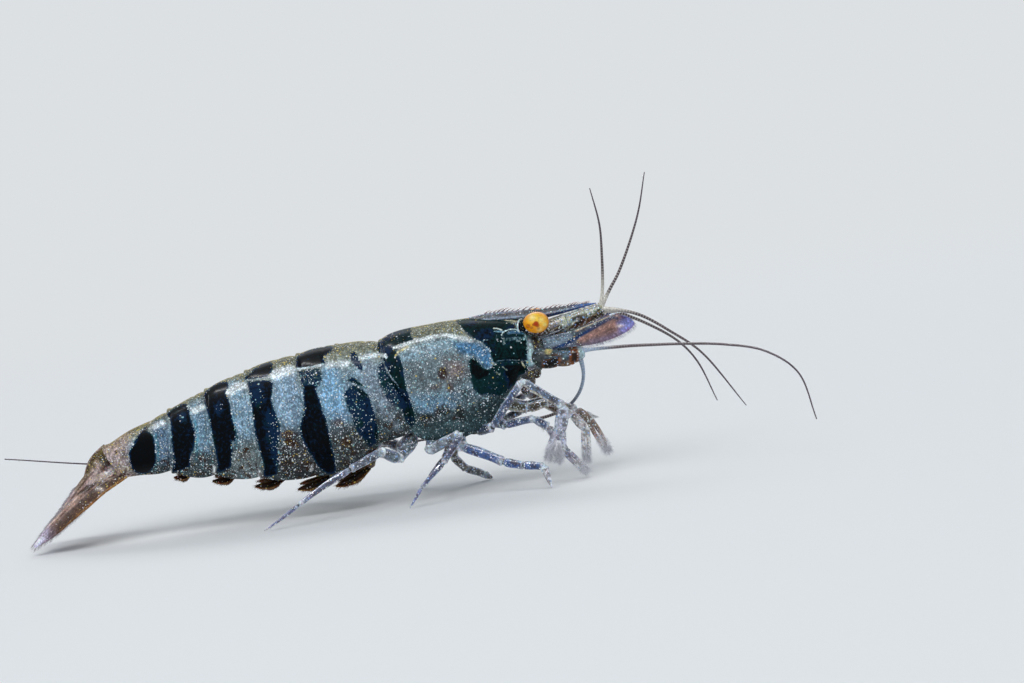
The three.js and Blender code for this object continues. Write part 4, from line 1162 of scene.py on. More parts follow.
def rostrum():
    """The beak: a thin upright blade with a fine rib, and a comb of forward teeth along its crest."""
    t = np.linspace(0, 1, 150)
    upper, lower = through(ROSTRUM_UPPER, t), through(ROSTRUM_LOWER, t)
    around = turns(28)
    rise = 0.5 + 0.5 * np.cos(around)
    half = 0.13 * smooth(1.02, 0.55, t) + 0.025
    rib = 1 + 0.9 * bump(rise, 0.42, 0.1) * smooth(0.95, 0.5, t)[:, None]
    profile = np.sin(around) * (0.35 + 0.65 * np.abs(np.sin(around))) * rib
    x, z = (lower[:, k : k + 1] + (upper[:, k : k + 1] - lower[:, k : k + 1]) * rise for k in (0, 1))
    grade = np.broadcast_to(rise, x.shape)
    tint = painted(
        "50565F",
        ("6E6C6E", 0.7 * bump(grade, 0.75, 0.2)),
        # painted highlights: whitish-blue lines along the rib, the lower edge and the rear of the upper
        # edge
        ("A9B8CC", 0.7 * bump(grade, 0.5, 0.09)),
        ("3A5AA0", 0.85 * bump(grade, 0.2, 0.16) * smooth(6.8, 8.2, x)),
        ("5E7FA8", 0.5 * bump(grade, 0.3, 0.12) * smooth(7.4, 5.0, x)),
        ("4A7CC8", 0.75 * smooth(8.6, 9.6, x)),
        ("C4D0E0", 0.6 * bump(grade, 0.0, 0.08)),
        ("B9C8DA", 0.6 * bump(grade, 1.0, 0.12) * smooth(7.2, 6.0, x)),
    )
    form = Form()
    add_loft(form, np.stack([x, half[:, None] * profile, z], axis=-1), tint, graded(glitter=0.5))
    form.piece("rostrum_blade", FAN, ("rostrum",), "shell")

    teeth = Form()
    pale = painted("6C6A78", ("C9A8A0", [0.0, 0.35, 0.75, 1.0]))
    for number, place in enumerate(np.linspace(0.18, 0.87, ROSTRUM_TEETH)):
        x, z = through(ROSTRUM_UPPER, place)
        size = (0.9 + 0.2 * math.sin(5.0 * number)) * (1 - 0.35 * place**2)
        steps = np.array([(0, 0, 0), (0.09, 0, 0.08), (0.2, 0, 0.14), (0.34, 0, 0.17)]) * size
        thick = np.interp(np.linspace(0, 3, 8), range(4), [0.05, 0.036, 0.02, 0.005]) * size
        line = curve(steps + [x - 0.07, 0, z - 0.04], 8)
        add_tube(teeth, line, thick, sides=8, tint=through(pale, np.linspace(0, 1, 8)))
    for place in (0.72, 0.8, 0.88):
        x, z = through(ROSTRUM_LOWER, place)
        line = curve([(x - 0.05, 0, z + 0.03), (x + 0.03, 0, z - 0.03), (x + 0.15, 0, z - 0.06)], 6)
        add_tube(teeth, line, [0.045, 0.04, 0.032, 0.024, 0.015, 0.005], sides=8, tint=colour("B9BCCB"))
    teeth.piece("rostrum_teeth", FEELER, (), "shell")


rostrum()


# ---- eyes ------------------------------------------------------------------------------------------
EYE_ROWS, EYE_COLUMNS = 72, 128
EYE_HALVES = (0.585, 0.5, 0.47)
POLE_GAP = 0.0005  # keeps the eye's first and last rows from falling on one point
EYE_YELLOWS_AND_HIGHLIGHTS = [
    # colour, strength, X and Z from the eye's middle, radius
    ("FFD62A", 0.8, -0.02, 0.2, 0.3), ("FFD62A", 0.5, 0.35, -0.05, 0.22),
    # the pale yellow FFEE96 patches are painted highlights
    ("FFEE96", 0.68, -0.12, 0.26, 0.16), ("FFEE96", 0.68, 0.26, 0.12, 0.14),
    ("FFEE96", 0.68, 0.12, -0.3, 0.12), ("FFEE96", 0.68, 0.38, -0.12, 0.1),
]
EYE_SPOTS = [
    ("B2480A", 1.0, 0.0, -0.02, 0.12), ("B2480A", 0.8, 0.06, -0.1, 0.08),
    ("B2480A", 0.45, 0.08, -0.24, 0.07), ("B2480A", 0.65, -0.36, -0.08, 0.1),
    ("B2480A", 0.5, -0.22, -0.17, 0.07), ("B2480A", 0.8, -0.12, -0.04, 0.06),
]
EYESTALK_PATH = [(6.3, 0.5, 7.03), (6.55, 0.62, 7.08), (6.8, 0.82, 7.14), (7.02, 0.98, 7.2)]
EYESTALK_RADII = (0.3, 0.31, 0.33, 0.41, 0.47, 0.45)


def eyeball(side, s):
    """An amber ball, whose pole points to the side, with yellow patches and painted highlights, painted
    shade at its rim, brown spots and a dark foot.
    """
    polar = np.linspace(POLE_GAP, math.pi - POLE_GAP, EYE_ROWS)[:, None]
    turn = turns(EYE_COLUMNS)[None]
    ux, uz = np.sin(polar) * np.cos(turn), np.sin(polar) * np.sin(turn)
    uy = np.cos(polar) * np.ones_like(turn)
    swell = 1 + 0.035 * bump(ux, 0.5, 0.5)
    points = np.stack([ux * swell, s * uy, uz * swell], axis=-1) * EYE_HALVES
    x, z = points[..., 0], points[..., 2]
    tint = colour("FBA414")
    for shade, strength, px, pz, radius in EYE_YELLOWS_AND_HIGHLIGHTS:
        tint = painted(tint, (shade, strength * bump(np.hypot(x - px, z - pz), 0, radius)))
    # painted shade: a darker orange towards the eye's rim as seen from the side
    tint = painted(tint, ("DC8410", 0.6 * smooth(0.82, 1.0, np.hypot(x / 0.59, z / 0.48))))
    for shade, strength, px, pz, radius in EYE_SPOTS:
        tint = painted(tint, (shade, strength * smooth(1.35, 0.7, np.hypot(x - px, z - pz) / radius)))
    tint = painted(
        tint,
        ("B43A06", 0.95 * smooth(1.3, 0.6, np.hypot(x, z + 0.02) / 0.09)),
        ("1B1410", smooth(0.25, -0.15, uy) * smooth(-0.3, -0.8, ux - 0.35 * uy)),
    )
    form = Form()
    centre = EYE * [1, s, 1] - [0.01, 0, 0]
    form.add(points + centre, grid_quads(EYE_ROWS, EYE_COLUMNS, wrap=True), (), tint.reshape(-1, 3))
    form.piece(f"eyeball_{side}", CORNEA, (f"eye_{side}",), "eye")


def eyestalk(side, s):
    """The dark cup that an eye sits in, and the white rim of the socket behind it."""
    stalk = Form()
    line = curve(mirrored(EYESTALK_PATH, s), 40)
    at = np.linspace(0, 1, 40)
    radius = through([(value,) for value in EYESTALK_RADII], at)[:, 0]
    tint = painted("12161A", ("6A7478", 0.8 * bump(at, 0.12, 0.1)), ("C9D6D8", 0.9 * bump(at, 0.93, 0.05)))
    add_tube(stalk, line, radius, 0.9 * radius, sides=48, tint=tint, marks=graded(glitter=0.5))
    turn = np.linspace(0, 2 * math.pi, 49)
    away = np.stack([-0.19 * np.sin(turn), 0.3 * s * np.sin(turn), 0.345 * np.cos(turn)], axis=1)
    socket = np.array([6.52, s * 0.6, 7.08]) + away
    add_tube(stalk, socket, np.full(49, 0.04), sides=12, tint=colour("D6E4E6"), marks=graded(glitter=0.9))
    stalk.piece(f"eyestalk_cup_{side}", SKIN, (f"eyestalk_{side}",), "eyestalk")


for side, s in SIDES:
    eyeball(side, s)
    eyestalk(side, s)


# ---- blades: scales, paddles and the tail fan ------------------------------------------------------
def add_blade(form, edge_a, edge_b, thickness, paint, ribs=((0.12, 1.0, 0.06),), arch=0.0, across=40):
    """A thin leaf between two edge lines. ribs are (place across, height, width). arch is its rise.

    paint gives tint and marks for points, and for their shares along the leaf and across it.
    """
    n = len(edge_a)
    w = np.linspace(0, 1, across)
    sheet = edge_a[:, None] + (edge_b - edge_a)[:, None] * w[None, :, None]
    normal = grid_normals(sheet)
    lift = arch * np.linalg.norm(edge_b - edge_a, axis=1)[:, None] * np.sin(math.pi * w)
    sheet = sheet + normal * lift[..., None]
    half = np.sqrt(np.clip(np.sin(math.pi * w), 0.0, 1)) * 0.5 + 0.15
    for place, height, width in ribs:
        half = half + height * bump(w, place, width)
    taper = smooth(1.02, 0.85, np.linspace(0, 1, n)) * 0.6 + 0.4
    half = thickness * half[None] * taper[:, None]
    half[:, 0] = half[:, -1] = 0.25 * thickness
    lift = normal * half[..., None]
    rings = np.concatenate([sheet + lift, (sheet - lift)[:, ::-1]], axis=1)
    along = np.broadcast_to(np.linspace(0, 1, n)[:, None], rings.shape[:2])
    side = np.broadcast_to(np.concatenate([w, w[::-1]])[None], rings.shape[:2])
    tint, marks = paint(rings, along, side)
    add_loft(form, rings, tint, marks)


def leaf_edges(path, widths, across, count):
    """The two edges of a leaf: widths on each side of a line, along a direction kept square to it."""
    line = curve(path, count)
    half = through([(w,) for w in widths], np.linspace(0, 1, count))[:, 0]
    _, sideways, _ = transported(line, across)
    return line - sideways * half[:, None], line + sideways * half[:, None]


# ---- hairs -----------------------------------------------------------------------------------------
HAIR_TINT = colour("A9A6A8")
FLOOR_GAP = 0.03  # legs and hairs end this far above the floor


def fringe(form, line, outward, length, radius, count, tint=HAIR_TINT, spread=0.15, droop=0.0, steps=4):
    """A row of hairs along a line. outward is the way they point, for each point of the line or for all."""
    at = np.sort(rng.uniform(0, 1, count))
    index = at * (len(line) - 1)
    low = np.minimum(index.astype(int), len(line) - 2)
    share = (index - low)[:, None]
    roots = line[low] * (1 - share) + line[low + 1] * share
    outward = np.broadcast_to(np.asarray(outward, float), line.shape)
    away = unit(outward[low] * (1 - share) + outward[low + 1] * share + rng.normal(0, spread, (count, 3)))
    reach = np.broadcast_to(np.asarray(length, float), (len(line),))
    reach = (reach[low] * rng.uniform(0.7, 1.1, count))[:, None]
    tips = roots + away * reach
    tips[:, 2] = np.maximum(tips[:, 2], FLOOR_GAP)
    bend = np.array([0, 0, 1.0]) * droop * reach
    shade = np.asarray(tint) * rng.uniform(0.75, 1.2, (count, 1))
    uv = np.stack([0.02 + 0.95 * at, 0.5 + 0.3 * rng.uniform(-1, 1, count)], axis=1)
    add_hairs(form, roots, tips, radius, bend, shade, uv, steps)


# ---- feelers and their stalks ----------------------------------------------------------------------
ANTENNULE_JOINTS = [(7.1, 0.44, 6.62), (8.55, 0.46, 6.92), (9.42, 0.46, 7.14), (10.22, 0.46, 7.34)]
ANTENNULE_RADII = [(0.4, 0.38), (0.36, 0.32), (0.3, 0.24)]
ANTENNULE_SPINE = [(7.2, 0.78, 6.5), (7.8, 0.9, 6.62), (8.6, 0.88, 6.86)]


def antennules():
    """The pair of upper stalks, of three joints each, with a spine at the outer side of the first."""
    f = np.linspace(-0.02, 1.02, 70)
    for side, s in SIDES:
        form = Form()
        joints = mirrored(ANTENNULE_JOINTS, s)
        for (start, end), a, b in zip(ANTENNULE_RADII, joints, joints[1:]):
            knuckles = 1 - 0.16 * bump(f, 0, 0.04) + 0.04 * bump(f, 0.93, 0.06)
            radius = (start + (end - start) * f) * knuckles * np.where(np.abs(f - 0.5) > 0.505, 0.7, 1.0)
            add_streaked(form, a + (b - a) * f[:, None], radius, f)
        width = np.linspace(0.16, 0.012, 16)
        spine = curve(mirrored(ANTENNULE_SPINE, s), 16)
        add_tube(form, spine, width, 0.6 * width, tint=colour("7A848C"), marks=graded(glitter=0.6))
        form.piece(f"antennule_stalk_{side}", STALK, (f"antennule_{side}",), "limb")


STREAKED_MARKS = [
    # colour, strength, width of the edge, outline
    ("C8D4BE", 0.75, 0.1, [(9.2, 7.3), (9.55, 7.5), (9.9, 7.4), (9.75, 7.15), (9.3, 7.05)]),
    ("B8C4B0", 0.7, 0.1, [(8.15, 6.9), (8.45, 7.15), (8.75, 7.05), (8.6, 6.85), (8.3, 6.8)]),
    ("B8753E", 0.6, 0.08, [(8.7, 6.7), (9.2, 6.8), (9.6, 6.95), (9.5, 6.8), (9.0, 6.62)]),
    ("2C2A22", 0.7, 0.08, [(8.75, 7.1), (9.15, 7.25), (9.2, 7.12), (8.85, 6.98)]),
    ("241F18", 0.6, 0.1, [(7.5, 6.6), (8.2, 6.72), (8.3, 6.62), (7.6, 6.5)]),
    ("A89EA8", 0.6, 0.12, [(7.8, 6.75), (8.2, 6.95), (8.1, 7.05), (7.75, 6.9)]),
]
STREAKS = [
    # colour, how many go round, how fast they turn, where they start, strength
    ("D9DBBE", 5, 2.6, 0.0, 0.8), ("8C6A5E", 4, -3.4, 1.7, 0.7), ("9CBCC8", 6, 4.2, 3.1, 0.6),
    ("23261F", 7, -2.2, 4.4, 0.8), ("C9B27A", 9, 6.0, 0.6, 0.6),
]


def add_streaked(form, line, radius, f):
    """A stalk's joint, with long streaks of pale gold, rose, sky and dark olive, lightest on top."""
    angles = turns(64)
    rings = hoops(line, radius, 1.1 * radius, angles)
    x, z = side_view(rings)
    top = smooth(-0.2, 0.95, np.sin(angles)) * np.ones(x.shape)
    tint = painted("4A4C44", ("A4AA94", 0.8 * top))
    for shade, count, rate, start, strength in STREAKS:
        wave = np.sin(count * angles + rate * x + 0.9 * np.sin(5.0 * x + start) + start)
        there = smooth(0.55, 0.95, wave) * smooth(-0.4, 0.6, np.sin(3.1 * x + 2 * start))
        tint = painted(tint, (shade, strength * there))
    tint = painted(tint, ("CCD0BC", 0.5 * bump(f, 0.96, 0.04)[:, None]))
    tint = marked(tint, x, z, STREAKED_MARKS)
    add_loft(form, rings, tint, graded(glitter=0.95, brown=0.9 * (1 - top)))


ANTENNA_JOINTS = [
    # line, radii from root to end, colour
    ([(6.75, 0.68, 5.8), (7.3, 0.78, 5.58), (8.0, 0.84, 5.49)], (0.3, 0.46, 0.46, 0.38), "3E4648"),
    ([(7.62, 0.86, 5.55), (8.2, 0.88, 5.44), (8.7, 0.89, 5.46)], (0.34, 0.36, 0.36, 0.32), "3A4652"),
    ([(8.4, 0.89, 5.47), (8.8, 0.9, 5.52), (9.14, 0.9, 5.62)], (0.3, 0.32, 0.29, 0.18), "5E6C78"),
]
STALK_MARKS = [
    # colour, strength, width of the edge, outline
    ("7E4A20", 0.95, 0.1, [
        (7.15, 4.9), (7.25, 5.35), (7.7, 5.56), (8.05, 5.62), (8.12, 5.4), (7.85, 5.05), (7.5, 4.85),
    ]),
    ("120D0A", 1.0, 0.05, [(7.22, 4.95), (7.3, 5.27), (7.65, 5.46), (7.95, 5.5), (7.85, 5.2), (7.6, 4.95)]),
    ("8E4C1A", 0.95, 0.08, [
        (8.38, 5.0), (8.45, 5.45), (8.6, 5.76), (8.9, 5.66), (8.85, 5.3), (8.66, 4.98),
    ]),
    ("1E1410", 0.95, 0.05, [(8.5, 5.2), (8.56, 5.52), (8.72, 5.64), (8.8, 5.4), (8.7, 5.15)]),
    ("8A6A48", 0.8, 0.07, [(7.95, 4.98), (8.1, 5.22), (8.4, 5.2), (8.42, 5.0)]),
    ("E4D08A", 0.9, 0.06, [(7.36, 5.74), (7.5, 5.9), (7.72, 5.82), (7.56, 5.66)]),
    ("C2DCE2", 0.8, 0.1, [(8.9, 5.2), (8.9, 5.8), (9.15, 5.8), (9.15, 5.3)]),
    ("64808C", 0.6, 0.12, [(7.95, 5.5), (8.1, 5.75), (8.4, 5.7), (8.35, 5.4), (8.1, 5.35)]),
]


def rounded(f, ends=0.16):
    """A share that closes both ends of a part in a round."""
    return np.sqrt(np.clip(1 - np.clip(1 - np.minimum(f, 1 - f) / ends, 0, 1) ** 2, 0.04, 1))


def add_stalk(form, line, radius, shade, f):
    """One joint of a lower stalk, paler on top and at its end, with the marks that the photo shows."""
    angles = turns(36)
    rings = hoops(line, radius, radius, angles)
    tint = painted(shade, ("B4C4CC", 0.5 * bump(f, 0.94, 0.04)[:, None] * np.ones(rings.shape[:2])))
    tint = painted(tint, ("8FA8B8", 0.35 * smooth(0.3, 1.0, np.sin(angles))))
    add_loft(form, rings, marked(tint, *side_view(rings), STALK_MARKS), graded(glitter=0.35))


def antenna_bases():
    """The lower stalks: a cup against the face, two short joints, and the start of the long feeler."""
    f = np.linspace(0, 1, 44)
    for side, s in SIDES:
        form = Form()
        for path, radii, shade in ANTENNA_JOINTS:
            radius = through([(value,) for value in radii], f)[:, 0] * rounded(f, 0.12)
            add_stalk(form, curve(mirrored(path, s), 44), radius, shade, f)
        spine = curve(mirrored([(7.3, 1.2, 5.62), (7.7, 1.27, 5.6), (8.15, 1.26, 5.62)], s), 12)
        width = np.linspace(0.09, 0.008, 12)
        add_tube(form, spine, width, sides=10, tint=colour("46545E"), marks=graded(glitter=0.4))
        form.piece(f"antenna_stalk_{side}", STALK, (f"antenna_base_{side}",), "limb")


SCALE_UPPER = [
    (7.35, 0.98, 6.48), (8.0, 1.2, 6.58), (8.5, 1.3, 6.62), (9.0, 1.38, 6.7), (9.5, 1.42, 6.83),
    (10.0, 1.42, 6.96), (10.5, 1.38, 7.08), (10.85, 1.34, 7.08), (11.15, 1.28, 6.98),
    (11.38, 1.2, 6.82), (11.52, 1.1, 6.62),
]
SCALE_LOWER = [
    (7.35, 0.92, 6.0), (8.0, 0.98, 5.94), (8.5, 0.98, 5.92), (9.0, 0.96, 5.9), (9.5, 0.94, 5.9),
    (10.0, 0.92, 5.94), (10.5, 0.92, 6.04), (10.85, 0.93, 6.14), (11.15, 0.96, 6.26), (11.38, 1.0, 6.4),
    (11.52, 1.06, 6.54),
]
SCALE_RAIL = [(7.8, 5.84), (8.5, 6.05), (9.0, 6.26), (9.6, 6.5), (10.1, 6.7), (10.55, 6.86), (10.78, 6.82)]
SCALE_ABOVE_RAIL = [(7.2, 6.6), (7.2, 5.9), (7.9, 5.88), (8.5, 6.1), (9.6, 6.55), (10.6, 6.9), (10.4, 7.3)]
SCALE_SKY = [(7.3, 6.45), (8.0, 6.4), (8.7, 6.4), (8.4, 6.08), (7.7, 5.9)]
SCALE_LOWER_RIM = [(9.4, 6.0), (10.6, 6.2), (11.3, 6.5), (11.0, 6.2), (10.4, 5.9)]
SCALE_TIP = [(10.8, 6.6), (11.5, 6.7), (11.45, 6.4), (10.9, 6.2)]
# painted highlights near the scale's tip and along its upper rim
SCALE_HIGHLIGHTS = ((10.88, 6.46, 0.17), (10.72, 6.86, 0.14), (10.5, 6.98, 0.1))  # X, Z, half length


def scale_paint(points, along, side):
    """A stiff dark rail with a painted highlight along its upper side, a rosy leaf under it, blue-grey
    shell above it, and a blue-violet tip with painted highlights.
    """
    x, z = side_view(points)
    above = patch(x, z, SCALE_ABOVE_RAIL, 0.05)
    sky = patch(x, z, SCALE_SKY, 0.16) * (0.55 + 0.4 * np.sin(60 * side + 3 * np.sin(4 * x)))
    highlight_distances = [np.hypot((x - px) / long, (z - pz) / 0.07) for px, pz, long in SCALE_HIGHLIGHTS]
    tint = painted(
        "86706C",
        ("6A6878", smooth(0.72, 0.98, side)),
        ("B08C80", 0.7 * streak(x, z, [(9.1, 6.12), (9.8, 6.35), (10.6, 6.58)], 0.2)),
        ("5C6874", above),
        ("9DB4C8", sky),
        # a painted highlight along the upper side of the rail
        ("C9BFA8", 0.7 * streak(x, z, [(8.9, 6.52), (9.5, 6.72), (10.3, 6.96)], 0.08)),
        ("5A5E92", smooth(10.7, 11.2, x)),
        ("8A8CA8", 0.5 * patch(x, z, SCALE_LOWER_RIM, 0.14)),
        ("90A4E8", 0.85 * patch(x, z, SCALE_TIP, 0.2)),
        # painted highlights near the tip
        *[("F4E6D8", 0.85 * bump(away, 0, 1)) for away in highlight_distances],
        ("66788A", smooth(9.0, 8.7, x) * (1 - above)),
        ("1A3C6C", 0.95 * streak(x, z, SCALE_RAIL, 0.11) * smooth(10.2, 9.4, x)),
        ("3C4C6A", 0.9 * streak(x, z, SCALE_RAIL, 0.1) * smooth(9.4, 10.0, x)),
    )
    return tint, graded(glitter=0.95 * np.maximum(above, smooth(9.2, 8.8, x)))


def antennal_scales(hairs):
    """The wide blades over the feelers' roots, each with a spine at the end of its rail and a fringe."""
    count, rail_end, fringe_start, fringe_end = 110, 78, 88, 42
    for side, s in SIDES:
        form = Form()
        upper, lower = (curve(mirrored(edge, s), count) for edge in (SCALE_UPPER, SCALE_LOWER))
        ribs = ((0.05, 0.9, 0.05), (0.3, 0.5, 0.05))
        add_blade(form, upper, lower, 0.055, scale_paint, ribs=ribs, arch=0.05 * s)
        spine = curve(upper[rail_end] + mirrored([(0, 0, 0.03), (0.3, 0, 0.1), (0.55, -0.02, 0.1)], s), 10)
        add_tube(form, spine, np.linspace(0.06, 0.006, 10), sides=8, tint=colour("C7D2E0"))
        form.piece(f"feeler_scale_{side}", FAN, (f"antennal_scale_{side}",), "scale")
        tip = np.concatenate([upper[fringe_start:], lower[:fringe_end:-1]])
        below = np.tile([0.55, 0, -0.8], (count - fringe_end - 1, 1))
        outward = unit(np.concatenate([np.gradient(upper, axis=0)[fringe_start:] * 8, below]))
        fringe(hairs, tip, outward, 0.2, 0.007, 260, colour("B4B2C4"), 0.1, -0.02)


FEELER_PATHS = {
    "antennule_feeler_upper_right": [
        (10.16, -0.45, 7.42), (10.36, -0.6, 8.45), (10.5, -0.9, 9.8), (10.56, -1.5, 11.2),
        (10.33, -2.3, 12.9),
    ],
    "antennule_feeler_upper_left": [
        (10.2, 0.46, 7.45), (10.75, 0.6, 8.2), (11.25, 0.8, 8.9), (12.4, 1.3, 11.2), (13.0, 1.6, 13.1),
    ],
    "antennule_feeler_lower_right": [
        (10.15, -0.45, 7.36), (10.9, -0.55, 7.24), (11.86, -0.7, 6.87), (13.1, -0.9, 5.97),
        (14.3, -1.1, 4.9), (15.98, -1.3, 2.25),
    ],
    "antennule_feeler_lower_left": [
        (10.15, 0.45, 7.3), (11.0, 0.65, 6.98), (12.25, 1.0, 6.25), (13.5, 1.5, 5.25), (14.24, 1.9, 4.2),
        (14.93, 2.3, 2.25),
    ],
    "antenna_feeler_right": [
        (8.95, -0.9, 5.69), (10.2, -1.25, 5.68), (11.7, -1.7, 5.62), (15.2, -3.2, 5.3), (17.0, -4.1, 4.8),
        (18.2, -4.7, 3.75), (18.7, -5.0, 1.65),
    ],
    "antenna_feeler_left": [
        (8.9, 0.92, 5.6), (9.0, 1.25, 4.4), (8.6, 1.9, 3.4), (7.5, 3.1, 2.6), (4.0, 4.6, 2.2),
        (0.0, 5.0, 2.0), (-4.3, 4.7, 2.05), (-8.7, 4.1, 2.5), (-13.3, 3.6, 3.09), (-17.9, 3.3, 4.03),
    ],
}
PALE_STARTS = {"antennule_feeler_upper_right": 0.34, "antennule_feeler_lower_right": 0.22}
USUAL_PALE_START = 0.14
RING_LENGTH, RING_STEPS = 0.13, 5
BARE_RINGS = 6  # the first rings of a whip, which have no hairs


def feelers(hairs):
    """Six whips of many short rings, each a little wider at its far end, with a pale dot where it ends."""
    for name, path in FEELER_PATHS.items():
        long_one = name.startswith("antenna_")
        start, end = (0.085, 0.026) if long_one else (0.088, 0.02)
        swelling = 0.05 if long_one else 0.12
        root_shade, dots = ("9CB0C8", 0.35) if long_one else ("DEDACE", 0.75)
        rings = int(np.linalg.norm(np.diff(np.array(path), axis=0), axis=1).sum() / RING_LENGTH)
        count = rings * RING_STEPS + 1
        line = curve(path, count)
        t = np.linspace(0, 1, count)
        phase = (np.arange(count) % RING_STEPS) / RING_STEPS
        radius = (end + (start - end) * (1 - t) ** 0.8) * (1 + 0.6 * smooth(swelling, 0.0, t))
        radius = radius * (0.92 + 0.1 * phase)
        pale = PALE_STARTS.get(name, USUAL_PALE_START)
        tint = painted(
            "43333A",
            (root_shade, smooth(pale, 0.25 * pale, t)),
            ("4E3C4C", 0.6 * smooth(0.3, 0.9, t)),
            ("DCD6CC", dots * (phase > 0.7) * smooth(0.95, 0.1, t)),
        )
        form = Form()
        add_tube(form, line, radius, sides=10, tint=tint)
        form.piece(f"whip_{name}", FEELER, (name,), "feeler")
        places = np.minimum(np.arange(BARE_RINGS, rings) * RING_STEPS, count - 1)
        where = np.repeat(line[places], 2, axis=0)
        forward = np.repeat(unit(np.gradient(line, axis=0))[places], 2, axis=0)
        away = unit(0.9 * forward + rng.normal(0, 0.55, where.shape))
        uv = np.stack([np.linspace(0.02, 0.97, len(where)), np.full(len(where), 0.5)], axis=1)
        add_hairs(hairs, where, where + away * 0.11, 0.006, 0.0, colour("7B6C68"), uv, 2)


MOUTH_PLATES = [
    # X, Y, Z, length, width, colour
    (6.2, 0.48, 4.62, 0.6, 0.48, "504A44"), (6.48, 0.48, 4.98, 0.62, 0.52, "6E6A64"),
    (6.76, 0.46, 5.34, 0.66, 0.54, "7C8480"),
]
MOUTH_LIMB = [(5.4, 0.42, 3.7), (6.3, 0.54, 3.4), (7.25, 0.57, 3.55), (8.0, 0.5, 3.25)]
MOUTH_LIMB_RADII = [(0.22, 0.2), (0.2, 0.17), (0.16, 0.04)]
MOUTH_LIMB_SHADES = ["4A4A3C", "5C5644", "3A2A1E"]
MOUTH_LIMB_STRIPES = (0.7, 0.8, 0.2)


def mouthparts(hairs):
    """The leg-like mouth limbs, and the small plates and palps that close the mouth behind them."""
    f = np.linspace(0, 1, 30)
    for side, s in SIDES:
        form = Form()
        joints = mirrored(MOUTH_LIMB, s)
        add_limb(form, hairs, joints, MOUTH_LIMB_RADII, MOUTH_LIMB_SHADES, True, MOUTH_LIMB_STRIPES)
        form.piece(f"mouth_limb_{side}", LIMB, (f"maxilliped_{side}",), "limb")
        small = Form()
        for x, y, z, length, width, shade in MOUTH_PLATES:
            lean = 0.1 + 0.5 * f
            turn_in = np.stack([np.sin(lean), np.full(30, -0.12 * s), -np.cos(lean)], axis=1)
            spine = np.array([x, s * y, z]) + np.cumsum(turn_in, axis=0) * length / 30
            wide = width * rounded(0.02 + 0.96 * f, 0.4)
            looks = {"tint": colour(shade), "marks": graded(glitter=0.6, brown=1.0)}
            add_tube(small, spine, 0.5 * wide, 0.45 * wide, (0, 1, 0.1), 28, **looks)
            down = unit(np.array([0.5, 0.1 * s, -0.8]))
            fringe(hairs, spine[18:], down, 0.12, 0.006, 16, colour("8A8478"), 0.3)
        small.piece(f"mouth_plates_{side}", STALK, (), "limb")


# ---- legs ------------------------------------------------------------------------------------------
MILK, MEMBRANE = "E6ECF4", "54504E"
LOWEST_CLAW = 0.08  # the least height of a claw's end
BRUSH_TINT = colour("F0F0F6")
SPINULE_TINT = colour("C9CED6")
SPINULE_SPACING = 0.09
LIMB_ROWS, LIMB_SIDES = 30, 20


def limb_looks(angles, f, shade, stripe, milk):
    """Tint and marks of one part of a limb: painted highlights along the top and the lower edge, a stripe
    below, and milky where a joint is.
    """
    up = np.sin(angles)[None] * np.ones((len(f), 1))
    tint = painted(
        shade,
        # painted highlights: pale along the top and along the lower edge, for the bright rims of a clear
        # limb
        ("D6E4F8", 0.8 * smooth(0.62, 0.95, up)),
        ("9AA6D0", 0.5 * smooth(-0.6, -0.95, up)),
        ("F1EAD2", stripe * bump(up, -0.75, 0.26)),
        (MILK, np.clip(milk, 0, 0.9)[:, None]),
    )
    glitter = 0.75 + 0.25 * smooth(0.2, 0.8, up)
    return tint, graded(glitter=glitter, brown=0.6 * smooth(0.4, 0.1, milk)[:, None])


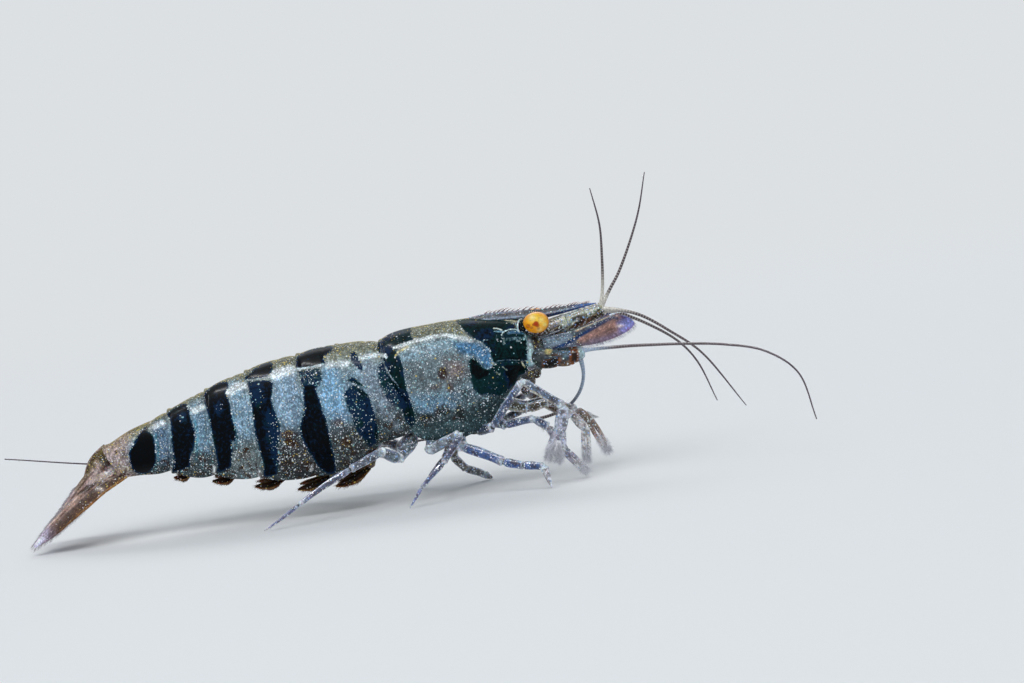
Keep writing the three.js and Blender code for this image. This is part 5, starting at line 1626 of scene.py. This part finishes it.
def add_limb(form, hairs, joints, radii, shades, brush=False, stripes=(0.0,), knobs=()):
    """A jointed limb. Each part has two radii, a colour and a pale stripe. knobs are the milky joints.

    With a brush it ends blunt, in a tuft of hairs, and otherwise in a toe with a row of spines under it.
    """
    joints = np.asarray(joints, float)
    f = np.linspace(0, 1, LIMB_ROWS)
    angles = turns(LIMB_SIDES)
    for i, (a, b) in enumerate(zip(joints, joints[1:])):
        length = np.linalg.norm(b - a)
        onward = unit(b - a)
        last = i == len(joints) - 2
        start, end = radii[i]
        line = a + (b - a) * f[:, None]
        line[:, 2] += (0.02 + 0.015 * last) * length * np.sin(math.pi * f) * (1 if i % 2 else -0.5)
        if last and not brush:
            radius = start * (1 - f) ** 0.7 + 0.01
        else:
            radius = start + (end - start) * f + 0.1 * start * bump(f, 0.35, 0.2)
            round_end = np.sqrt(np.clip((1.005 - f) / 0.05, 0.05, 1))
            radius = radius * (1 + 0.12 * bump(f, 0.93, 0.06)) * round_end
        radius = radius * (1 - 0.3 * bump(f, 0.0, 0.05))
        rings = hoops(line, radius, 1.12 * radius, angles)
        rings[..., 2] = np.maximum(rings[..., 2], FLOOR_GAP)
        milk = 0.75 * bump(f, 0.95, 0.06) + 0.35 * bump(f, 0.03, 0.05)
        if i + 1 in knobs:
            milk = milk + 0.6 * smooth(0.75, 1.0, f)
        if i in knobs:
            milk = milk + 0.4 * smooth(0.2, 0.0, f)
        shade, stripe = (values[min(i, len(values) - 1)] for values in (shades, stripes))
        add_loft(form, rings, *limb_looks(angles, f, shade, stripe, milk))
        if i:
            add_joint(form, joints[i - 1], a, b, 0.8 * min(radii[i - 1][1], start), i in knobs)
        spinules = int(length / SPINULE_SPACING)
        if spinules > 3 and i:
            thick = radius[2:-2]
            down, up = np.array([0, 0, -0.8]) + 0.35 * onward, 0.3 * onward + [0, 0, 0.5]
            below, above = 0.09 + 0.9 * thick[1:], 0.1 + thick
            fringe(hairs, line[3:-2], down, below, 0.011, spinules, SPINULE_TINT, 0.28, steps=3)
            fringe(hairs, line[2:-2], up, above, 0.006, spinules, HAIR_TINT, 0.6, steps=3)
        if last and not brush:
            for root in line[8:24:3]:
                lean = np.array([0.25 * np.sign(b[0] - a[0] + 0.001), 0, -0.6])
                tip = root + 0.11 * unit(0.7 * onward + lean)
                tip[2] = max(tip[2], FLOOR_GAP)
                add_hairs(form, [root], [tip], 0.014, 0.0, colour("D8CDB8"), steps=3)
        if last and brush:
            fringe(hairs, line[8:], 0.6 * onward + [0, 0, -0.8], 0.42, 0.007, 120, colour("B3AC9C"), 0.45)


def add_joint(form, before, here, beyond, radius, milky):
    """The soft skin ball that fills a joint."""
    f = np.linspace(-1, 1, 9)[:, None]
    inward, onward = unit(here - before), unit(beyond - here)
    line = here + np.where(f < 0, inward * f, onward * f) * radius * 0.9
    round_off = radius * np.sqrt(np.clip(1.02 - f[:, 0] ** 2, 0, 1))
    line[:, 2] = np.maximum(line[:, 2], FLOOR_GAP + round_off)
    tint = colour(MILK if milky else MEMBRANE)
    add_tube(form, line, round_off, sides=16, tint=tint, marks=graded(glitter=0.6))


def add_pincer(form, hairs, wrist, knuckle, tip, size, spread, shade, count):
    """A small nipper: a swollen palm, two spooned fingers, and a brush of hairs at the end of each."""
    wrist, knuckle, tip = (np.asarray(p, float) for p in (wrist, knuckle, tip))
    f = np.linspace(0, 1, 30)
    palm = size * (0.75 + 0.3 * np.sin(math.pi * (f * 0.95 + 0.02))) * rounded(0.02 + 0.97 * f, 0.14)
    tint = painted(shade, (MILK, 0.6 * bump(f, 0.0, 0.12) + 0.6 * bump(f, 0.97, 0.1)))
    line = wrist + (knuckle - wrist) * f[:, None]
    add_tube(form, line, 0.75 * palm, palm, sides=22, tint=tint, marks=graded(glitter=0.9, brown=0.5))
    axis = unit(tip - knuckle)
    length = np.linalg.norm(tip - knuckle)
    square = unit(np.cross(axis, [0, 1, 0]))
    f = np.linspace(0, 1, 26)
    for sign in (1, -1):
        out = sign * square
        root = knuckle + out * 0.4 * size - axis * 0.25 * size
        middle = knuckle + axis * 0.5 * length + out * (0.3 * size + 0.75 * spread * length)
        end = knuckle + axis * length + out * spread * length * 0.9
        end[2] = max(end[2], LOWEST_CLAW)
        line = curve([root, middle, end], 26)
        taper = size * 0.46 * (1 - f**1.6) ** 0.6 + 0.015
        pale = painted(shade, ("F6F4F8", 0.9 * smooth(0.3, 0.9, f)))
        add_tube(form, line, 0.8 * taper, taper, sides=16, tint=pale, marks=graded(glitter=0.8))
        reach = np.linspace(0.2, 0.42, 16)
        for along, aside, amount in ((0.9, 0.25, 1.0), (0.75, -0.45, 1.1), (0.4, 0.8, 0.5)):
            lean = along * axis + aside * out
            fringe(hairs, line[10:], lean, reach * amount, 0.016, int(count * amount), BRUSH_TINT, 0.3)
    if spread > 0.1:  # an open claw, whose brush fills the gap
        across = np.linspace(-0.5, 0.5, 12)[:, None] * spread * length * square
        between = knuckle + 0.3 * length * axis + across
        fringe(hairs, between, axis, 0.75 * length, 0.016, count, BRUSH_TINT, 0.3)


HIPS = [(4.75, 0.75, 3.1), (3.9, 0.8, 2.8), (2.95, 0.85, 2.7), (1.95, 0.85, 2.7), (1.0, 0.8, 2.8)]
LEG_JOINTS = {
    "right": [
        [(5.2, 1.15, 2.85), (6.5, 1.45, 3.0), (7.08, 1.5, 2.55), (7.72, 1.42, 1.3), (8.42, 1.35, 0.42)],
        [(4.6, 1.45, 2.88), (6.2, 2.2, 4.83), (7.88, 2.3, 3.48), (7.52, 2.3, 2.3), (7.12, 2.25, 1.25)],
        [(3.15, 1.6, 2.2), (4.9, 2.4, 1.38), (5.75, 2.8, 1.15), (6.62, 3.15, 1.02), (6.84, 3.3, 0.06)],
        [(1.68, 1.6, 2.24), (3.15, 2.1, 2.84), (2.2, 2.6, 1.7), (1.1, 3.1, 0.8), (0.5, 3.4, 0.06)],
        [(0.2, 1.75, 2.1), (-0.48, 2.5, 2.6), (-1.9, 3.1, 2.08), (-4.35, 3.8, 0.9), (-5.95, 4.2, 0.06)],
    ],
    "left": [
        [(5.2, 1.15, 2.9), (6.9, 1.35, 3.4), (8.25, 1.4, 2.62), (8.75, 1.4, 1.9), (8.62, 1.35, 0.55)],
        [(4.6, 1.45, 3.0), (6.3, 2.05, 3.8), (8.5, 2.15, 2.75), (9.05, 2.1, 2.1), (9.62, 2.05, 0.75)],
        [(2.75, 1.5, 2.1), (2.6, 2.0, 1.4), (3.1, 2.45, 0.72), (3.9, 2.8, 0.3), (4.25, 2.95, 0.06)],
        [(1.7, 1.6, 2.0), (2.8, 2.1, 2.5), (2.15, 2.6, 1.3), (1.35, 3.1, 0.48), (0.95, 3.4, 0.06)],
        [(0.3, 1.7, 2.2), (-0.5, 2.4, 2.55), (-1.7, 2.9, 1.9), (-3.6, 3.4, 0.7), (-4.6, 3.7, 0.06)],
    ],
}
PINCER_RADII = [(0.24, 0.18), (0.15, 0.15), (0.15, 0.17)]
WALKER_RADII = [
    [(0.28, 0.23), (0.19, 0.19), (0.17, 0.16), (0.16, 0.15), (0.17, 0.04)],
    [(0.28, 0.22), (0.2, 0.2), (0.15, 0.12), (0.11, 0.08), (0.07, 0.02)],
    [(0.28, 0.24), (0.22, 0.2), (0.17, 0.15), (0.14, 0.09), (0.08, 0.02)],
]
LEG_SHADES = {
    "right": [
        ["3C4A60", "4C5E84", "50648C", "A0A4B6"],
        ["3E4A5E", "42567A", "62748A", "BCC0D0"],
        ["4C5C74", "466096", "44649E", "4E6EA8", "F0F4FA"],
        ["74828E", "8C98A4", "5C6480", "585E80", "8088B8"],
        ["6A7880", "7C8A94", "6A7688", "68728E", "7E86AC"],
    ],
    "left": [
        ["3E4650", "4A5260", "5A4634", "DAD6D6"],
        ["3E4650", "4E5766", "5C4632", "8E7E70"],
        ["6E6E66", "7A766A", "7E7C76", "84888A", "9CA8B0"],
        ["5E6468", "6C727C", "70767E", "767C88", "8A90A4"],
        ["5E6468", "6C727C", "70767E", "767C88", "8A90A4"],
    ],
}
OPEN_CLAW = ("right", 1)
OPEN_CLAW_SIZES, CLAW_SIZES = (0.29, 0.26, 340), (0.21, 0.06, 120)  # size, spread of the fingers, hairs
WHITE_TUFT = ("left", 1)


def legs(leg_hairs, claw_hairs):
    """Five pairs of legs. The first two end in small claws, and the other three are walking legs."""
    for side, s in SIDES:
        for pair, hip in enumerate(HIPS):
            points = mirrored([hip, *LEG_JOINTS[side][pair]], s)
            form = Form()
            shades = LEG_SHADES[side][pair]
            if pair < 2:
                stripes = (0.1, 0.1, 0.95) if pair == 1 else (0.1, 0.1, 0.3)
                add_limb(form, leg_hairs, points[:4], PINCER_RADII, shades, True, stripes, knobs=(2, 3))
                size, spread, count = OPEN_CLAW_SIZES if (side, pair) == OPEN_CLAW else CLAW_SIZES
                add_pincer(form, claw_hairs, *points[3:], size, spread, shades[3], count)
            else:
                knobs = (1, 2) if pair > 2 else (1, 4)
                add_limb(form, leg_hairs, points, WALKER_RADII[pair - 2], shades, knobs=knobs)
            if (side, pair) == WHITE_TUFT:
                tuft = np.linspace((8.95, s * 2.15, 2.6), (9.05, s * 2.1, 2.25), 12)
                lean = unit(np.array([9.45, s * 2.15, 2.26]) - tuft)
                fringe(claw_hairs, tuft, lean, 0.45, 0.026, 40, colour("F8FAFC"), 0.06)
            form.piece(f"walking_leg_{pair + 1}_{side}", LIMB, (f"leg_{pair + 1}_{side}",), "limb")


# ---- swimming legs ---------------------------------------------------------------------------------
SWIMMERETS = [
    ((-0.7, 0.72, 3.2), (-1.1, 0.78, 1.75), (-2.75, 0.8, 1.16)),
    ((-2.5, 0.74, 2.6), (-2.9, 0.8, 1.62), (-4.45, 0.82, 1.26)),
    ((-4.6, 0.72, 2.55), (-5.0, 0.78, 1.78), (-6.35, 0.76, 1.66)),
    ((-6.8, 0.6, 2.9), (-7.1, 0.64, 2.25), (-8.2, 0.62, 2.14)),
    ((-8.8, 0.5, 3.2), (-9.1, 0.52, 2.62), (-9.9, 0.5, 2.54)),
]
PADDLE_LEAVES = ((0.16, 1.0, 1.0), (-0.12, 0.86, 0.8))  # swing to the side, length, width
PADDLE_WIDTHS = np.array([0.1, 0.26, 0.32, 0.27, 0.05])
PADDLE_SHRINK = 0.09  # by how much each pair is smaller than the one before it


def paddle_paint(points, along, side):
    """Dark brown leaves with amber rims."""
    tint = painted(
        "15110F",
        ("2C2018", smooth(0.5, 0.95, along)),
        ("8A6E40", 0.5 * np.maximum(bump(side, 0, 0.12), bump(side, 1, 0.12))),
        ("3C4042", 0.4 * bump(side, 0.5, 0.12)),
    )
    return tint, graded(glitter=0.35, brown=0.7)


def swimmerets(hairs):
    """Each paddle has a stout stem and two hairy leaves."""
    f = np.linspace(0, 1, 24)
    stem_tint = painted("3A342E", ("8A8A80", 0.6 * bump(f, 0.92, 0.1)))
    for pair, path in enumerate(SWIMMERETS):
        scale = 1 - PADDLE_SHRINK * pair
        for side, s in SIDES:
            form = Form()
            root, bend, tip = mirrored(path, s)
            wide = scale * (0.24 + 0.08 * f) * np.sqrt(np.clip((1.01 - f) / 0.1, 0.1, 1))
            looks = {"tint": stem_tint, "marks": graded(glitter=0.6, brown=0.5)}
            add_tube(form, root + (bend - root) * f[:, None], wide, 0.65 * wide, sides=20, **looks)
            for leaf, (swing, reach, wider) in enumerate(PADDLE_LEAVES):
                end = bend + (tip - bend) * reach + [0, s * swing, -0.08 * leaf]
                middle = (bend + end) / 2 + [0, s * swing * 0.7, -0.1 - 0.06 * leaf]
                widths = scale * wider * PADDLE_WIDTHS
                a, b = leaf_edges([bend, middle, end], widths, (0.25, s * 0.9, -0.45), 50)
                add_blade(form, a, b, 0.05, paddle_paint, across=20)
                outward, onward = unit(a - b), unit(np.gradient(a, axis=0))
                for line, sign in ((a, 1), (b, -1)):
                    lean = unit(sign * outward[8:] * 0.5 + onward[8:])
                    fringe(hairs, line[8:], lean, 0.22 * scale, 0.006, 46, colour("4E4030"), 0.2)
            form.piece(f"paddle_{pair + 1}_{side}", FAN, (f"swimmeret_{pair + 1}_{side}",), "swimmeret")


# ---- tail fan --------------------------------------------------------------------------------------
FAN_MARKS = [
    # colour, strength, width of the edge, outline
    ("6A5A34", 0.7, 0.12, [
        (-12.7, 4.4), (-13.3, 4.0), (-13.9, 3.25), (-14.45, 2.6), (-14.25, 2.5), (-13.75, 3.0),
        (-13.2, 3.6), (-12.7, 4.0),
    ]),
    ("CDB8B2", 0.75, 0.12, [
        (-12.0, 3.45), (-12.8, 3.4), (-13.6, 3.0), (-13.9, 2.7), (-12.9, 2.8), (-12.1, 3.1),
    ]),
    ("DCD4DE", 0.6, 0.12, [(-12.1, 3.45), (-12.7, 3.4), (-12.9, 3.1), (-12.3, 3.05)]),
    ("D0AE9E", 0.75, 0.1, [
        (-14.0, 2.6), (-14.6, 2.2), (-15.4, 1.45), (-15.6, 1.2), (-14.8, 1.7), (-14.1, 2.2),
    ]),
    ("1E1814", 0.85, 0.05, [
        (-13.35, 2.78), (-13.8, 2.62), (-14.3, 2.4), (-14.3, 2.3), (-13.8, 2.5), (-13.4, 2.68),
    ]),
    ("3A3230", 0.7, 0.07, [(-14.6, 2.0), (-15.2, 1.4), (-15.9, 0.75), (-15.3, 1.25), (-14.7, 1.85)]),
    ("D8D2EA", 0.8, 0.14, [
        (-15.7, 1.1), (-16.1, 0.75), (-16.6, 0.3), (-16.6, 0.05), (-16.2, 0.25), (-15.8, 0.7),
    ]),
    ("F8F6FC", 0.9, 0.05, [(-16.05, 0.74), (-16.3, 0.52), (-16.42, 0.36), (-16.3, 0.38), (-16.1, 0.56)]),
    ("E8DCD8", 0.8, 0.05, [(-15.2, 1.72), (-15.35, 1.6), (-15.3, 1.5), (-15.15, 1.6)]),
    ("2C3A3C", 0.7, 0.07, [(-12.9, 3.85), (-13.1, 3.85), (-13.12, 3.62), (-12.92, 3.62)]),
]
TELSON_PATH = [(-12.45, 0, 3.84), (-13.05, 0, 3.36), (-13.75, 0, 2.44), (-14.75, 0, 1.72)]
FAN_LEAVES = {
    # line, half widths, the direction across, upper and lower colour
    "inner": (
        [
            (-12.2, 0.42, 3.42), (-13.2, 0.56, 3.16), (-14.2, 0.62, 2.34), (-15.2, 0.66, 1.42),
            (-16.0, 0.7, 0.76),
        ],
        [0.3, 0.56, 0.56, 0.44, 0.32, 0.08], (0, 0.74, -0.67), "7E6C72", "5C4C48",
    ),
    "outer": (
        [
            (-12.05, 0.7, 3.0), (-13.2, 1.06, 2.62), (-14.2, 1.3, 2.0), (-15.2, 1.44, 1.3),
            (-16.45, 1.5, 0.42),
        ],
        [0.26, 0.52, 0.6, 0.54, 0.44, 0.1], (0, 0.85, -0.53), "665652", "54443A",
    ),
}
FAN_STEM = [(-11.75, 0.42, 3.3), (-12.1, 0.62, 3.22), (-12.5, 0.75, 3.0)]
FAN_RIBS = ((0.3, 1.1, 0.04), (0.42, 0.8, 0.04), (0.97, 0.6, 0.05))
LOWEST_LEAF = 0.12
TELSON_ROWS, LEAF_ROWS = 90, 110
FRINGE_ROW, SPINE_ROW = 50, 72  # where the fringe starts on a leaf, and where the outer leaf's spines are
SPINE_TINT = colour("D9D2C4")


def fan_paint(warm, low):
    """Colours for one leaf of the fan: rosy and amber, with a pale rib and a blue-white glassy end."""

    def paint(points, along, side):
        """Tint and marks, from the places and from the shares along the leaf and across it."""
        tint = painted(
            warm,
            (low, smooth(0.35, 0.85, side)),
            ("E4CECA", 0.65 * bump(side, 0.15, 0.14) * smooth(0.05, 0.3, along)),
            ("3A2E28", 0.6 * bump(side, 0.3, 0.05) * smooth(0.95, 0.6, along)),
            ("C9ACA4", 0.6 * bump(side, 0.42, 0.05) * smooth(0.95, 0.7, along)),
            ("B98A4C", 0.5 * bump(side, 0.98, 0.05) * smooth(0.9, 0.5, along)),
            ("B4ACC8", 0.85 * smooth(0.72, 0.97, along)),
        )
        marks = graded(glitter=0.2 + 0.7 * smooth(0.4, 0.1, along), brown=0.55 * smooth(0.8, 0.3, along))
        return marked(tint, *side_view(points), FAN_MARKS), marks

    return paint


def telson(hairs):
    """The plate in the middle of the fan, with three pairs of spines on its back and more at its end."""
    form = Form()
    a, b = leaf_edges(TELSON_PATH, [0.7, 0.72, 0.54, 0.4, 0.24], (0, 1, 0), TELSON_ROWS)
    add_blade(form, a, b, 0.16, fan_paint("3A332C", "3A332C"), ((0.5, 0.35, 0.2),), arch=0.4, across=44)
    for share in (0.5, 0.66, 0.8):
        k = int(share * (TELSON_ROWS - 1))
        for place in (0.25, 0.75):
            root = a[k] + (b[k] - a[k]) * place + [0, 0, 0.15]
            add_hairs(form, [root], [root + [-0.16, 0, -0.09]], 0.018, 0.0, SPINE_TINT, steps=3)
    end = a[-1] + (b[-1] - a[-1]) * np.linspace(0.05, 0.95, 8)[:, None]
    reach = 0.2 + 0.1 * np.abs(np.linspace(-1, 1, 8))[:, None]
    backward = np.array([-0.62, 0, -0.78])
    add_hairs(form, end + [0.06, 0, 0.08], end + unit(backward) * reach, 0.016, 0.0, SPINE_TINT, steps=4)
    form.piece("telson_plate", FAN, ("telson",), "tail_fan")
    fringe(hairs, end, backward, 0.34, 0.008, 60, colour("A8A2A2"), 0.1)


def fan_leaf(hairs, which, side, s):
    """One leaf of the fan with its fringe. The outer one has a row of small spines across it."""
    path, widths, across, warm, low = FAN_LEAVES[which]
    form = Form()
    a, b = leaf_edges(mirrored(path, s), widths, mirrored(across, s), LEAF_ROWS)
    a[:, 2], b[:, 2] = np.maximum(a[:, 2], LOWEST_LEAF), np.maximum(b[:, 2], LOWEST_LEAF)
    add_blade(form, a, b, 0.06, fan_paint(warm, low), FAN_RIBS, 0.05 * s)
    if which == "outer":
        near, far = a[SPINE_ROW], b[SPINE_ROW]
        row = near + (far - near) * np.linspace(0.55, 0.98, 12)[:, None]
        row_tip = row + [-0.13, 0, -0.06]
        add_hairs(form, row + [0, 0, 0.03], row_tip, 0.014, 0.0, colour("D6C2A6"), steps=3)
    form.piece(f"fan_{which}_{side}", FAN, (f"tail_fan_{which}_{side}",), "tail_fan")
    onward, outward = unit(np.gradient(a, axis=0))[FRINGE_ROW:], 0.45 * unit(a - b)[FRINGE_ROW:]
    rim = np.concatenate([a[FRINGE_ROW:], b[: FRINGE_ROW - 1 : -1]])
    lean = unit(np.concatenate([onward + outward, (onward - outward)[::-1]]))
    fringe(hairs, rim, lean, 0.3, 0.007, 380, colour("A8A0A8"), 0.09)


def fan_stem(side, s):
    """The stem that both leaves of a side hang from."""
    form = Form()
    f = np.linspace(0, 1, 24)
    knob = 0.3 * np.sqrt(np.clip(np.sin(math.pi * (0.06 + 0.9 * f)), 0, 1))
    looks = {"tint": painted("8A7870", ("DAD6D0", 0.7 * bump(f, 0.35, 0.15))), "marks": graded(0, 0.6, 0.6)}
    add_tube(form, curve(mirrored(FAN_STEM, s), 24), knob, 0.85 * knob, sides=24, **looks)
    form.piece(f"fan_stem_{side}", SKIN, (), "tail_fan")


def tail_fan(hairs):
    """The half-closed fan: the telson, and two leaves on a stem at each side."""
    telson(hairs)
    for side, s in SIDES:
        for which in FAN_LEAVES:
            fan_leaf(hairs, which, side, s)
        fan_stem(side, s)


# ---- the whole animal ------------------------------------------------------------------------------
coats = {part: Form() for part in ("head", "feeler", "leg", "claw", "paddle", "fan")}
antennules()
antenna_bases()
antennal_scales(coats["head"])
feelers(coats["feeler"])
mouthparts(coats["head"])
legs(coats["leg"], coats["claw"])
swimmerets(coats["paddle"])
tail_fan(coats["fan"])
for part, coat in coats.items():
    coat.piece(f"{part}_setae", HAIR, coat=True, outward=False)
